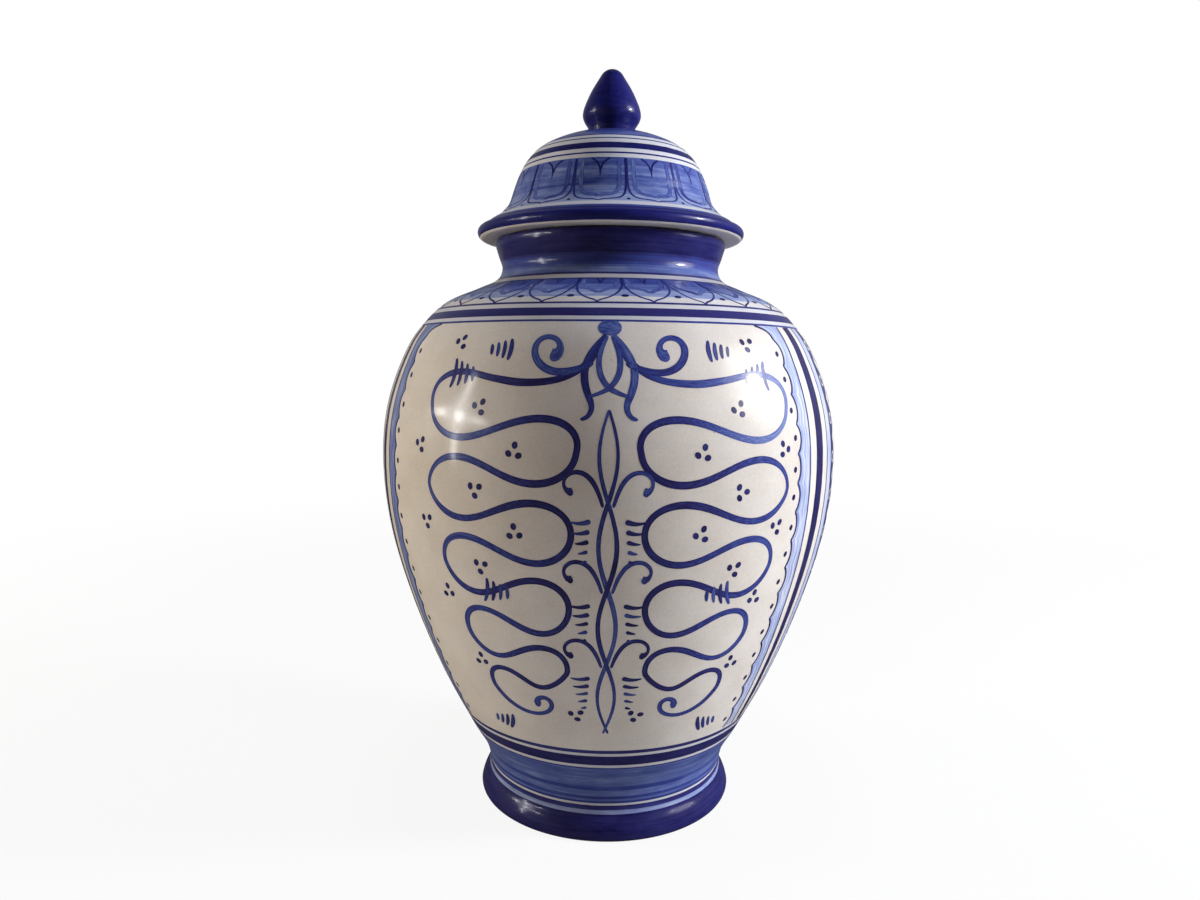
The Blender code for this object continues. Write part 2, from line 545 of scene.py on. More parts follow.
@dataclass
class BrushWork:
    """Strokes of cobalt on a turned surface, as one mesh. Each is a closed slip of colour whose
    top stands a few hundredths of a millimetre proud and whose underside is sunk in the glaze."""

    name: str
    surface: TurnedLine
    seed: int = 0
    proud: float = 0.05 * MM
    coat_height: float = 0.012 * MM
    sunk: float = 0.12 * MM
    step: float = 1.3 * MM
    section: tuple[float, ...] = (-1.0, -0.7, 0.0, 0.7, 1.0)
    # Where the cross lines of a round end lie, as shares of its length, and the least share of
    # its squared width that the end of a stroke and of a dot keeps.
    tip: tuple[float, ...] = (0.0, 0.04, 0.15, 0.35, 0.65)
    tip_floor: float = 0.0009
    dot_floor: float = 0.002
    # How the hand's pressure sways along a stroke.
    sway: float = 0.06
    sway_length: float = 7 * MM
    # How much paler a stroke gets where the brush runs dry, and how often it does.
    ebb: float = 0.20
    ebb_length: float = 26 * MM
    # How far the load of a stroke and of a dot strays from the one asked for.
    load_strays: Point = (-0.02, 0.04)
    dot_strays: Point = (-0.06, 0.06)
    verts: list = field(default_factory=list)
    faces: list = field(default_factory=list)
    marks: list = field(default_factory=list)
    count: int = 0

    def __post_init__(self) -> None:
        """Start the hand's own sequence of chances."""
        self.random = random.Random(self.seed)

    def metric(self, path: Array) -> Array:
        """Measure a path on the surface.

        Args:
            path: its (turn, run) places.

        Returns:
            The length from its start to each of them.
        """
        radius = self.surface.radius(path[:, 1])
        sideways = np.diff(path[:, 0]) * (radius[1:] + radius[:-1]) / 2
        return np.concatenate(([0.0], np.cumsum(np.hypot(sideways, np.diff(path[:, 1])))))

    def loft(self, turns: Array, runs: Array, along: Array, across: Array,
             load: Array | float, coat: int) -> None:
        """Add one slip of colour from its cross lines.

        Args:
            turns: turn of each top point, one row for each cross line.
            runs: run of each top point.
            along: length along the stroke at each cross line.
            across: where each column lies, from -1 at the right edge to 1 at the left.
            load: how much pigment the brush left, from 0 to 1.
            coat: how many coats lie below it.
        """
        rows, columns = turns.shape
        lift = self.proud + coat * self.coat_height
        top = self.surface.place(turns, runs, lift)
        ends = [columns - 1, 0]
        under = self.surface.place(turns[:, ends], runs[:, ends], -self.sunk)
        ring = columns + 2
        base = self.count
        self.verts.append(np.concatenate((top, under), 1).reshape(-1, 3))
        spread = np.concatenate((across, (1.0, -1.0)))
        mark = np.empty((rows, ring, 3))
        mark[..., 0] = along[:, None] / MM
        mark[..., 1] = spread
        mark[..., 2] = np.broadcast_to(np.asarray(load), (rows,))[:, None]
        self.marks.append(mark.reshape(-1, 3))
        i, k = np.meshgrid(np.arange(rows - 1), np.arange(ring), indexing="ij")
        near, far = base + i * ring, base + (i + 1) * ring
        quads = np.stack((near + k, far + k, far + (k + 1) % ring, near + (k + 1) % ring), -1)
        self.faces += quads.reshape(-1, 4).tolist()
        self.faces.append(list(range(base, base + ring)))
        last = base + (rows - 1) * ring
        self.faces.append(list(range(last + ring - 1, last - 1, -1)))
        self.count += rows * ring

    def stroke(self, path: Array, width: float, load: float, touch: Touch = Touch.EVEN,
               coat: int = 0, weight: Array | None = None,
               thinner: Array | float = 0.0) -> None:
        """Draw one brush stroke.

        Args:
            path: its middle line, as (turn, run) places.
            width: its full width in millimetres, where the brush is pressed most.
            load: how much pigment it leaves, from 0 to 1.
            touch: how the brush is pressed along it.
            coat: how many coats lie below it.
            weight: how hard the brush is pressed at each point, as a share of its width.
            thinner: how much less pigment it leaves at each point.
        """
        lengths = self.metric(path)
        total = lengths[-1]
        end = min(width * MM / 2, total / 2)
        middle = np.linspace(0, total, max(5, round(total / self.step) + 1))
        tip = end * np.array(self.tip)
        at = np.unique(np.round(np.concatenate((middle, tip, total - tip)), 7))
        turn, run = np.interp(at, lengths, path[:, 0]), np.interp(at, lengths, path[:, 1])
        press = touch.press(np.minimum(at / total, 1.0))
        phase = self.random.uniform(0, FULL_TURN)
        press = press * (1 + self.sway * np.sin(at / self.sway_length + phase))
        if weight is not None:
            press = press * np.interp(at, lengths, weight)
        near_end = np.clip(1 - np.minimum(at, total - at) / end, 0, 1)
        half = width * MM / 2 * press * np.sqrt(np.clip(1 - near_end ** 2, self.tip_floor, 1))
        radius = self.surface.radius(run)
        side_turn, side_run = -np.gradient(run, at), np.gradient(turn, at) * radius
        size = np.hypot(side_turn, side_run)
        across = np.array(self.section)
        offset = half[:, None] * across
        paler = np.interp(at, lengths, np.broadcast_to(thinner, lengths.shape))
        if load > 0:
            paler = paler + self.ebb / 2 * (1 + np.sin(at / self.ebb_length + 2 * phase))
        self.loft(turn[:, None] + (side_turn / size / radius)[:, None] * offset,
                  run[:, None] + (side_run / size)[:, None] * offset,
                  at, across, load - paler + self.random.uniform(*self.load_strays), coat)

    def dot(self, centre: Point, length: float, width: float, lean: float,
            load: float, coat: int = 0) -> None:
        """Touch the brush down once.

        Args:
            centre: where, as (turn, run).
            length: the dot's length in millimetres.
            width: its width in millimetres.
            lean: its direction in degrees, from round the piece towards up.
            load: how much pigment it leaves.
            coat: how many coats lie below it.
        """
        reach, angle = length * MM / 2, math.radians(lean)
        x, y = math.cos(angle) * reach, math.sin(angle) * reach
        share = np.sin(np.linspace(-math.pi / 2, math.pi / 2, 9))
        radius = float(self.surface.radius(centre[1]))
        turn, run = centre[0] + x * share / radius, centre[1] + y * share
        half = width * MM / 2 * np.sqrt(np.clip(1 - share ** 2, self.dot_floor, 1))
        size = math.hypot(x, y)
        across = np.array(self.section)
        offset = half[:, None] * across
        self.loft(turn[:, None] - y / size / radius * offset, run[:, None] + x / size * offset,
                  size * (1 + share), across, load + self.random.uniform(*self.dot_strays), coat)

    def wash(self, inner: Array, outer: Array, side: int, load: float, columns: int = 6) -> None:
        """Fill a strip between two edges with thin colour.

        Args:
            inner: the edge towards the middle of the panel or band, as (turn, run) places.
            outer: the other edge, with as many places.
            side: 1 where the outer edge is the right one, -1 where it is the left.
            load: how much pigment it leaves.
            columns: how many stretches the strip has across.
        """
        right, left = (outer, inner) if side > 0 else (inner, outer)
        share = np.linspace(0, 1, columns + 1)
        turns = right[:, :1] * (1 - share) + left[:, :1] * share
        runs = right[:, 1:] * (1 - share) + left[:, 1:] * share
        self.loft(turns, runs, self.metric(right), share * 2 - 1, load, -1)

    def build(self, finish: Material) -> Piece:
        """Turn the strokes into a piece.

        Args:
            finish: its material.

        Returns:
            The piece.
        """
        piece = make_piece(self.name, np.concatenate(self.verts).tolist(), self.faces, [finish],
                           SHARP_STROKE)
        brush = piece.data.attributes.new("brush", "FLOAT_VECTOR", "POINT")
        brush.data.foreach_set("vector", np.concatenate(self.marks).ravel())
        piece.data.update()
        return piece


# --- Finishes ------------------------------------------------------------------------------------

@dataclass(frozen=True)
class GlossGlaze:
    """Fired tin glaze with cobalt in it: a glassy coat over an opaque, slightly grainy ground.

    The eye gets sharp sparks from the coat with a soft glow round them, a white that is never
    quite even, and blues that go from grey wash to near black as the brush was loaded.
    """

    roughness: float = 0.50
    body_gloss: float = 0.08
    coat: float = 0.60
    coat_roughness: float = 0.14
    refraction: float = 1.40
    ripple_width: float = 26 * MM
    ripple_height: float = 0.024 * MM
    peel_width: float = 2.4 * MM
    peel_height: float = 0.0009 * MM
    # The real grain is about 0.4 mm, which is too fine for the render.
    grain_width: float = 1.1 * MM
    cloud_width: float = 21 * MM
    # What grain and clouds add up to where the ground is even, and where it is thinnest.
    uneven: Point = (0.72, 1.35)
    # How much of the thin ground's colour shows there, and what is left of it under pigment.
    thin_most: float = 0.75
    thin_loaded: float = 0.25
    bare_load: float = 0.12
    # Specks of clay burnt through: the larger the scale, the fewer cells have one.
    speck_spacing: float = 9 * MM
    speck_radius: float = 0.42 * MM
    speck_scale: float = 2.2
    speck_strength: float = 0.5

    # The colours that the heaviest loads fire to.
    heavy: Pigment = Pigment.COBALT
    heaviest: Pigment = Pigment.DEEP

    def dress(self, add: Adder, load: Socket, place: Socket) -> None:
        """Finish a material from its pigment load.

        Args:
            add: adds a node to the material.
            load: the pigment load, from 0 to 1.
            place: coordinates on the piece, in metres.
        """
        def noise(width: float, **settings: float) -> Socket:
            """Even noise of a grain in metres."""
            inputs = {name.title(): value for name, value in settings.items()}
            return add("TexNoise", {"Vector": place, "Scale": 1 / width} | inputs)

        dilution = ((0.0, Pigment.GROUND), (0.10, Pigment.FAINT), (0.28, Pigment.PALE),
                    (0.50, Pigment.WASH), (0.70, Pigment.MIDDLE), (0.86, self.heavy),
                    (1.0, self.heaviest))
        fired = add("ValToRGB", {"Fac": load})
        fill_ramp(fired, [(at, linear(pigment)) for at, pigment in dilution])
        uneven = add("Math", {0: noise(self.grain_width, detail=3.0, roughness=0.6),
                              1: noise(self.cloud_width, detail=2.0)}, operation="ADD")
        thin = add("MapRange", {"Value": uneven, "From Min": self.uneven[0],
                                "From Max": self.uneven[1], "To Max": self.thin_most})
        bare = add("MapRange", {"Value": load, "From Max": self.bare_load, "To Min": 1.0,
                                "To Max": self.thin_loaded})
        amount = add("Math", {0: thin, 1: bare}, operation="MULTIPLY")
        thinner = np.divide(linear(Pigment.GROUND_THIN), linear(Pigment.GROUND))
        shade = add("Mix", {"Factor": amount, 6: (1, 1, 1, 1), 7: thinner}, 2, data_type="RGBA")
        glazed = add("Mix", {"Factor": 1.0, 6: fired, 7: shade}, 2, data_type="RGBA",
                     blend_type="MULTIPLY")
        cell = add("TexVoronoi", {"Vector": place, "Scale": 1 / self.speck_spacing})
        lot = add("SeparateColor", {0: cell.node.outputs["Color"]})
        largest = self.speck_radius / self.speck_spacing
        size = add("Math", {0: lot, 1: self.speck_scale * largest,
                            2: (1 - self.speck_scale) * largest}, operation="MULTIPLY_ADD")
        speck = add("Math", {0: cell, 1: size}, operation="LESS_THAN")
        shown = add("Math", {0: speck, 1: bare}, operation="MULTIPLY")
        strength = add("Math", {0: shown, 1: self.speck_strength}, operation="MULTIPLY")
        colour = add("Mix", {"Factor": strength, 6: glazed, 7: linear(Pigment.SPECK)}, 2,
                     data_type="RGBA")
        waves = add("Bump", {"Distance": self.ripple_height,
                             "Height": noise(self.ripple_width, detail=1.0)})
        skin = add("Bump", {"Distance": self.peel_height, "Normal": waves,
                            "Height": noise(self.peel_width, detail=1.0)})
        add("OutputMaterial", {"Surface": add("BsdfPrincipled", {
            "Base Color": colour, "Roughness": self.roughness,
            "Specular IOR Level": self.body_gloss, "Coat Weight": self.coat,
            "Coat Roughness": self.coat_roughness, "Coat IOR": self.refraction, "Normal": skin,
            "Coat Normal": skin})})


@dataclass(frozen=True)
class BandedGlaze:
    """A glaze banded on the turning wheel. Each band runs from its height up to the next, with
    the least and the most pigment that its streaks carry."""

    name: str
    # Groups of bands, from low to high. A ramp is kept in 256 steps, so that a group of thin
    # lines can't be much taller than 60 mm.
    groups: tuple[Bands, ...]
    glaze: GlossGlaze = GlossGlaze()
    # Hairs of a banding brush leave streaks about 1 mm wide and some 60 mm long.
    streak_width: float = 1.3 * MM
    streak_turns: float = 2.2
    streak_limits: Point = (0.33, 0.67)
    cloud_width: float = 5 * MM
    cloud_limits: Point = (0.35, 0.65)
    cloud_share: float = 0.45
    # How far a band's edge strays as the wheel turns, and how wide and how often.
    edge_wander: float = 0.5 * MM
    wander_width: float = 30 * MM
    wander_turns: float = 1.6

    def build(self) -> Material:
        """Make the material.

        Returns:
            The material.
        """
        material, add = blank_material(self.name)
        place = add("TexCoord", out="Object")
        x, y, z = add("SeparateXYZ", {0: place}).node.outputs
        squares = [add("Math", {0: v, 1: 2.0}, operation="POWER") for v in (x, y)]
        total = add("Math", dict(enumerate(squares)), operation="ADD")
        radius = add("Math", {0: total}, operation="SQRT")
        round_x, round_y = (add("Math", {0: v, 1: radius}, operation="DIVIDE") for v in (x, y))

        def along_brush(width: float, turns: float) -> Socket:
            """Noise drawn out round the axis, with no seam.

            Args:
                width: its grain up the wall, in metres.
                turns: how fast it changes round the axis.

            Returns:
                Its value.
            """
            *parts, fourth = [add("Math", {0: v, 1: s}, operation="MULTIPLY") for v, s in (
                (radius, 1 / width), (z, 1 / width), (round_x, turns), (round_y, turns))]
            joined = add("CombineXYZ", dict(enumerate(parts)))
            return add("TexNoise", {"Vector": joined, "W": fourth, "Scale": 1.0, "Detail": 3.0,
                                    "Roughness": 0.65}, noise_dimensions="4D")

        wander = add("Math", {0: along_brush(self.wander_width, self.wander_turns),
                              1: self.edge_wander, 2: -self.edge_wander / 2},
                     operation="MULTIPLY_ADD")
        height = add("Math", {0: z, 1: wander}, operation="ADD")
        loads = []
        for column in (1, 2):
            most = None
            for rows in self.groups:
                low, high = rows[0][0], rows[-1][0]
                share = add("MapRange", {"Value": height, "From Min": low * MM,
                                         "From Max": high * MM})
                band = add("ValToRGB", {"Fac": share})
                fill_ramp(band, [((row[0] - low) / (high - low), (row[column],) * 3 + (1,))
                                 for row in rows[:-1]], "CONSTANT")
                most = band if most is None else add("Math", {0: most, 1: band},
                                                     operation="MAXIMUM")
            loads.append(most)
        hairs, clouds = (
            add("MapRange", {"Value": along_brush(width, turns), "From Min": low,
                             "From Max": high})
            for width, turns, (low, high) in (
                (self.streak_width, self.streak_turns, self.streak_limits),
                (self.cloud_width, self.streak_turns * 2, self.cloud_limits)))
        streak = add("Mix", {"Factor": self.cloud_share, 2: hairs, 3: clouds})
        self.glaze.dress(add, add("Mix", {"Factor": streak, 2: loads[0], 3: loads[1]}), place)
        return material


@dataclass(frozen=True)
class BrushedCobalt:
    """Cobalt laid with a pointed brush. It dries darker along the edges of a stroke, and the hairs
    leave lighter lines along it."""

    name: str
    glaze: GlossGlaze
    # Lines across a stroke, and how far they run in millimetres.
    hair_lines: float = 4.5
    hair_length: float = 16.0
    hair_limits: Point = (0.3, 0.7)
    hair_strength: float = 0.30
    pooled: float = 0.13
    # Sets the lines of strokes of other loads apart.
    load_spread: float = 97.0

    def build(self) -> Material:
        """Make the material.

        Returns:
            The material.
        """
        material, add = blank_material(self.name)
        brush = add("Attribute", out="Vector", attribute_name="brush")
        along, across, load = add("SeparateXYZ", {0: brush}).node.outputs
        parts = [add("Math", {0: v, 1: s}, operation="MULTIPLY") for v, s in (
            (along, 1 / self.hair_length), (across, self.hair_lines), (load, self.load_spread))]
        hairs = add("TexNoise", {"Vector": add("CombineXYZ", dict(enumerate(parts))),
                                 "Scale": 1.0, "Detail": 2.0})
        lighter = add("MapRange", {
            "Value": hairs, "From Min": self.hair_limits[0], "From Max": self.hair_limits[1],
            "To Min": -self.hair_strength / 2, "To Max": self.hair_strength / 2})
        edge = add("Math", {0: add("Math", {0: across, 1: 4.0}, operation="POWER"),
                            1: self.pooled, 2: load}, operation="MULTIPLY_ADD")
        total = add("Math", {0: edge, 1: lighter}, operation="ADD", use_clamp=True)
        self.glaze.dress(add, total, add("TexCoord", out="Object"))
        return material


@dataclass(frozen=True)
class BareEarthenware:
    """Fired red clay that the glaze was wiped off: matt, grainy, a little smoked."""

    name: str = "bare_red_earthenware"
    roughness: float = 0.82
    grain_width: float = 0.9 * MM
    grain_height: float = 0.03 * MM
    # Where the grain is smoked, and where it is clean.
    smoked: float = 0.35
    clean: float = 0.6

    def build(self) -> Material:
        """Make the material.

        Returns:
            The material.
        """
        material, add = blank_material(self.name)
        grain = add("TexNoise", {"Vector": add("TexCoord", out="Object"),
                                 "Scale": 1 / self.grain_width, "Detail": 5.0, "Roughness": 0.7})
        colour = add("ValToRGB", {"Fac": grain})
        fill_ramp(colour, [(self.smoked, linear(Pigment.CLAY_DARK)),
                           (self.clean, linear(Pigment.CLAY))])
        bump = add("Bump", {"Distance": self.grain_height, "Height": grain})
        add("OutputMaterial", {"Surface": add("BsdfPrincipled", {
            "Base Color": colour, "Roughness": self.roughness, "Normal": bump})})
        return material


# Bands of pigment, as (height in mm, least load, most load). Each runs up to the next.
BARE_GROUND = (0.0, 0.02)
# A ring left white between two bands takes a trace of blue from them.
LEFT_WHITE = (0.03, 0.08)
FOOT_BANDS = (
    (0.0, 0.84, 1.00), (12.8, 0.20, 0.46), (14.9, 0.74, 0.95), (17.2, *LEFT_WHITE),
    (18.5, 0.66, 0.82), (20.0, 0.42, 0.66), (21.3, 0.60, 0.82), (23.0, 0.36, 0.62),
    (26.5, 0.56, 0.78), (29.0, 0.38, 0.64), (36.0, 0.42, 0.70), (42.4, 0.66, 0.86),
    (43.2, *LEFT_WHITE), (45.1, 0.84, 0.97), (51.4, *LEFT_WHITE), (53.2, 0.74, 0.92),
    (55.4, *BARE_GROUND), (57.0, 0.0, 0.0))
NECK_BANDS = (
    (262.0, *BARE_GROUND), (262.9, 0.66, 0.88), (263.8, *LEFT_WHITE), (265.5, 0.82, 0.92),
    (269.4, *LEFT_WHITE), (271.3, 0.76, 0.94), (272.2, 0.0, 0.08), (275.0, 0.18, 0.42),
    (278.4, 0.36, 0.62), (281.4, 0.54, 0.78), (284.8, 0.80, 0.95), (285.4, *LEFT_WHITE),
    (287.7, 0.80, 0.94), (288.8, 0.36, 0.60), (291.8, 0.44, 0.68), (292.9, 0.60, 0.80),
    (294.2, 0.68, 0.88), (296.4, 0.64, 0.84), (297.6, 0.72, 0.92), (298.8, 0.88, 1.0),
    (311.0, 1.0, 1.0))
LID_BANDS = (
    (311.0, *BARE_GROUND), (312.0, 0.80, 1.0), (319.2, 0.60, 0.82), (320.3, *LEFT_WHITE),
    (322.6, 0.18, 0.42), (326.6, 0.30, 0.58), (331.5, 0.36, 0.76), (337.0, 0.30, 0.66),
    (341.5, 0.42, 0.74), (345.9, *LEFT_WHITE), (347.9, 0.74, 0.94), (348.8, *LEFT_WHITE),
    (351.0, 0.86, 1.0), (354.4, *LEFT_WHITE), (356.8, 0.76, 0.94), (357.5, *LEFT_WHITE),
    (359.0, 0.62, 0.84), (359.9, 0.50, 0.76), (363.0, 0.60, 0.84), (366.5, 0.72, 0.92),
    (370.0, 1.0, 1.0))
KNOB_BANDS = ((0.0, 0.82, 1.0), (410.0, 1.0, 1.0))
PLAIN_BANDS = ((0.0, *BARE_GROUND), (410.0, 0.0, 0.0))


# --- The pieces ----------------------------------------------------------------------------------

class TurnedPiece:
    """A piece made on the wheel: its name, its sides, its outer line and its whole outline."""

    name: str
    segments: int
    surface: TurnedLine

    def outline(self) -> Outline:
        """Its points, down the outer side and back up inside."""
        raise NotImplementedError

    def build(self, finishes: Finishes) -> Piece:
        """Make its skin."""
        return turn_skin(self.name, self.outline(), self.segments, self.surface, finishes)


@dataclass
class ThrownJar(TurnedPiece):
    """The pot: foot, belly, shoulder, neck and mouth in one thrown wall."""

    name: str = "jar_skin"
    segments: int = 288
    height: float = 0.3110
    belly: Point = (0.1250, 0.1930)
    neck: Point = (0.0600, 0.2955)
    rim: Point = (0.0633, 0.3070)
    waist: Point = (0.0672, 0.0175)
    roll: Point = (0.0721, 0.0026)
    wall: float = 0.0065
    lip_round: float = 0.0018
    floor_height: float = 0.0140
    floor_fillet: float = 0.0120
    foot_edge: float = 0.0015
    contact_width: float = 0.0060
    recess_bevel: Point = (0.0008, 0.0010)
    recess_slope: float = 0.0030
    recess_depth: float = 0.0055

    # The wall's bends, as shares of the way in radius and in height.
    foot_flare: Shares = ((0.184, 0.228), (0.449, 0.43), (0.82, 0.63), (0.97, 0.83))
    lower_wall: Shares = ((0.058, 0.07), (0.20, 0.152), (0.49, 0.345), (0.757, 0.575),
                          (0.941, 0.80))
    upper_wall: Shares = ((0.046, 0.29), (0.209, 0.575), (0.376, 0.725), (0.54, 0.815),
                          (0.80, 0.889), (0.955, 0.940))
    neck_flare: Shares = ((0.55, 0.58),)

    def __post_init__(self) -> None:
        """Draw the outer line, from the foot to the rim."""
        stations = chain((self.roll, self.foot_flare, self.waist, self.lower_wall, self.belly,
                          self.upper_wall, self.neck, self.neck_flare, self.rim))
        self.surface = TurnedLine(stations, low_calm=4 * MM, high_calm=300 * MM)

    def outline(self) -> Outline:
        """The whole outline, from the middle of the floor to the middle of the base.

        Returns:
            Its points, each with what covers the stretch that starts there.
        """
        wall = self.surface.points[::-1]
        inner = [p for p in inset(wall, self.wall)[::3]
                 if p[1] > self.floor_height + self.floor_fillet][::-1]
        floor_edge = (inner[0][0] - self.floor_fillet, self.floor_height)
        inside = [(0.0, self.floor_height)] + quarter(floor_edge, inner[0], 8, True) + inner[1:-1]
        mouth, base = inner[-1][0], self.height - self.lip_round
        lip = quarter((mouth, base), (mouth + self.lip_round, self.height), 5, False)
        lip += quarter((self.rim[0] - self.lip_round, self.height), (self.rim[0], base), 5, True)
        contact = self.roll[0] - self.foot_edge
        edge = quarter(self.roll, (contact, 0.0), 5, False)
        recess = contact - self.contact_width
        base_line = [(recess - self.recess_bevel[0], self.recess_bevel[1]),
                     (recess - self.recess_slope, self.recess_depth), (0.0, self.recess_depth)]
        # The glaze is wiped off the top of the lip and off the ring that the jar stands on.
        return (cover(inside + lip[:4], Zone.PLAIN) + cover(lip[4:6], Zone.BARE)
                + cover([*lip[6:], *wall, *edge[1:3]], Zone.PAINTED)
                + cover(edge[3:] + [(recess, 0.0)], Zone.BARE) + cover(base_line, Zone.PLAIN))


@dataclass
class DomedLid(TurnedPiece):
    """The cover: a dome over a wide rolled brim, hollow from below."""

    name: str = "lid_skin"
    segments: int = 224
    seat: float = 0.3113
    brim_radius: float = 0.0734
    brim_thickness: float = 0.0068
    dome_foot: Point = (0.0562, 0.0195)
    shoulder: Point = (0.0432, 0.0460)
    pad: Point = (0.0125, 0.0579)
    wall: float = 0.0055
    bore: float = 0.0463
    seat_ring: Point = (0.0572, 0.0610)

    # The dome's bends, as shares of the way in radius and in height.
    brim_rise: Shares = ((0.22, 0.19), (0.56, 0.42), (0.83, 0.72))
    flank: Shares = ((0.20, 0.30), (0.56, 0.72))
    crown: Shares = ((0.17, 0.32), (0.46, 0.665), (0.72, 0.88))

    def __post_init__(self) -> None:
        """Draw the outer line, from the brim to the pad under the knob."""
        self.brim_top = (self.brim_radius - self.brim_thickness / 2, self.brim_thickness)
        stations = chain((self.brim_top, self.brim_rise, self.dome_foot, self.flank,
                          self.shoulder, self.crown, self.pad))
        self.surface = TurnedLine([(r, z + self.seat) for r, z in stations],
                                  low_calm=self.seat + self.brim_thickness,
                                  high_calm=self.seat + self.pad[1])

    def outline(self) -> Outline:
        """The whole outline, from the top of the dome round the brim to the ceiling.

        Returns:
            Its points, each with what covers the stretch that starts there.
        """
        top, half = self.seat + self.pad[1], self.brim_thickness / 2
        dome = self.surface.points[::-1]
        brim_top = (self.brim_top[0], self.brim_top[1] + self.seat)
        outer = (self.brim_radius, self.seat + half)
        edge = quarter(brim_top, outer, 8, True)
        edge += quarter(outer, (self.brim_top[0], self.seat), 8, False)[1:]
        ceiling = top - self.wall
        hollow = [(min(r, self.bore), z) for r, z in inset(dome, self.wall)[::3]
                  if self.seat + self.dome_foot[1] < z < ceiling][::-1]
        below = [(self.seat_ring[0], self.seat), (self.bore, self.seat), *hollow, (0.0, ceiling)]
        return (cover([(0.0, top), *dome, *edge[1:]], Zone.PAINTED)
                + cover([(self.seat_ring[1], self.seat)], Zone.BARE) + cover(below, Zone.PLAIN))


@dataclass
class LidCollar(TurnedPiece):
    """The ring luted under the lid, which drops into the neck."""

    name: str = "lid_collar_skin"
    segments: int = 160
    radius: float = 0.0513
    bore: float = 0.0463
    top: float = 0.3110
    depth: float = 0.0150
    edge: float = 0.0015
    # How far it reaches up into the lid's slip.
    bedded: float = 0.4 * MM

    def __post_init__(self) -> None:
        """Draw the outer line."""
        self.start, self.end = self.top - self.depth + self.edge, self.top + self.bedded
        self.surface = TurnedLine([(self.radius, self.start), (self.radius, self.end)],
                                  self.end, self.end)

    def outline(self) -> Outline:
        """The ring's outline, from the bore's upper end round its foot.

        Returns:
            Its points, each with what covers the stretch that starts there.
        """
        bottom = self.start - self.edge
        foot = quarter((self.radius, self.start), (self.radius - self.edge, bottom), 5, False)
        foot += quarter((self.bore + self.edge, bottom), (self.bore, self.start), 5, True)
        return cover([(self.bore, self.end), (self.radius, self.end), *foot], Zone.PLAIN)


@dataclass
class Knob(TurnedPiece):
    """The pointed knob on the lid, luted on with a small fillet of slip."""

    name: str = "knob_skin"
    segments: int = 128
    seat: float = 0.3694
    radius: float = 0.0161
    radius_height: float = 0.0104
    base_radius: float = 0.0124
    height: float = 0.0348
    tip_radius: float = 0.0062
    tip_rise: float = 0.0035
    fillet: float = 0.0009
    bedded: float = 0.2 * MM
    low_side: Shares = ((0.16, 0.33), (0.80, 0.71))
    high_side: Shares = ((0.09, 0.205), (0.44, 0.58))

    def __post_init__(self) -> None:
        """Draw the outer line, from the base to the tip."""
        self.tip = (self.tip_radius, self.height - self.tip_rise)
        stations = chain(((self.base_radius, 0.0), self.low_side,
                          (self.radius, self.radius_height), self.high_side, self.tip))
        self.surface = TurnedLine([(r, z + self.seat) for r, z in stations],
                                  self.seat + 6 * MM, self.seat + self.height)

    def outline(self) -> Outline:
        """The knob's outline, from its tip down to the middle of its base.

        Returns:
            Its points, each with what covers the stretch that starts there.
        """
        bottom = self.seat - self.bedded
        top = cap(self.seat + self.height, (self.tip[0], self.tip[1] + self.seat), 10)
        side = [p for p in self.surface.points[::-1] if p[1] > self.seat + self.fillet]
        foot = quarter((self.base_radius, self.seat + self.fillet),
                       (self.base_radius + self.fillet, bottom), 4, False)
        return cover([*top[:-1], *side, *foot, (0.0, bottom)], Zone.PAINTED)


# --- The painting --------------------------------------------------------------------------------

@dataclass
class PaintedField:
    """A field of the wall between the lower and the upper ring."""

    surface: TurnedLine
    middle: float
    # The heights of the two rings in millimetres.
    low: float = 56.2
    high: float = 262.9

    def __post_init__(self) -> None:
        """Find the field's ends on the wall."""
        self.foot, self.head = self.surface.run_at(self.low), self.surface.run_at(self.high)
        self.length = (self.head - self.foot) / MM

    def half_width(self, angle: float, up: float) -> float:
        """What an angle measures round the wall, in millimetres, at millimetres up the field."""
        return float(self.surface.radius(self.foot + up * MM)) / MM * math.radians(angle)


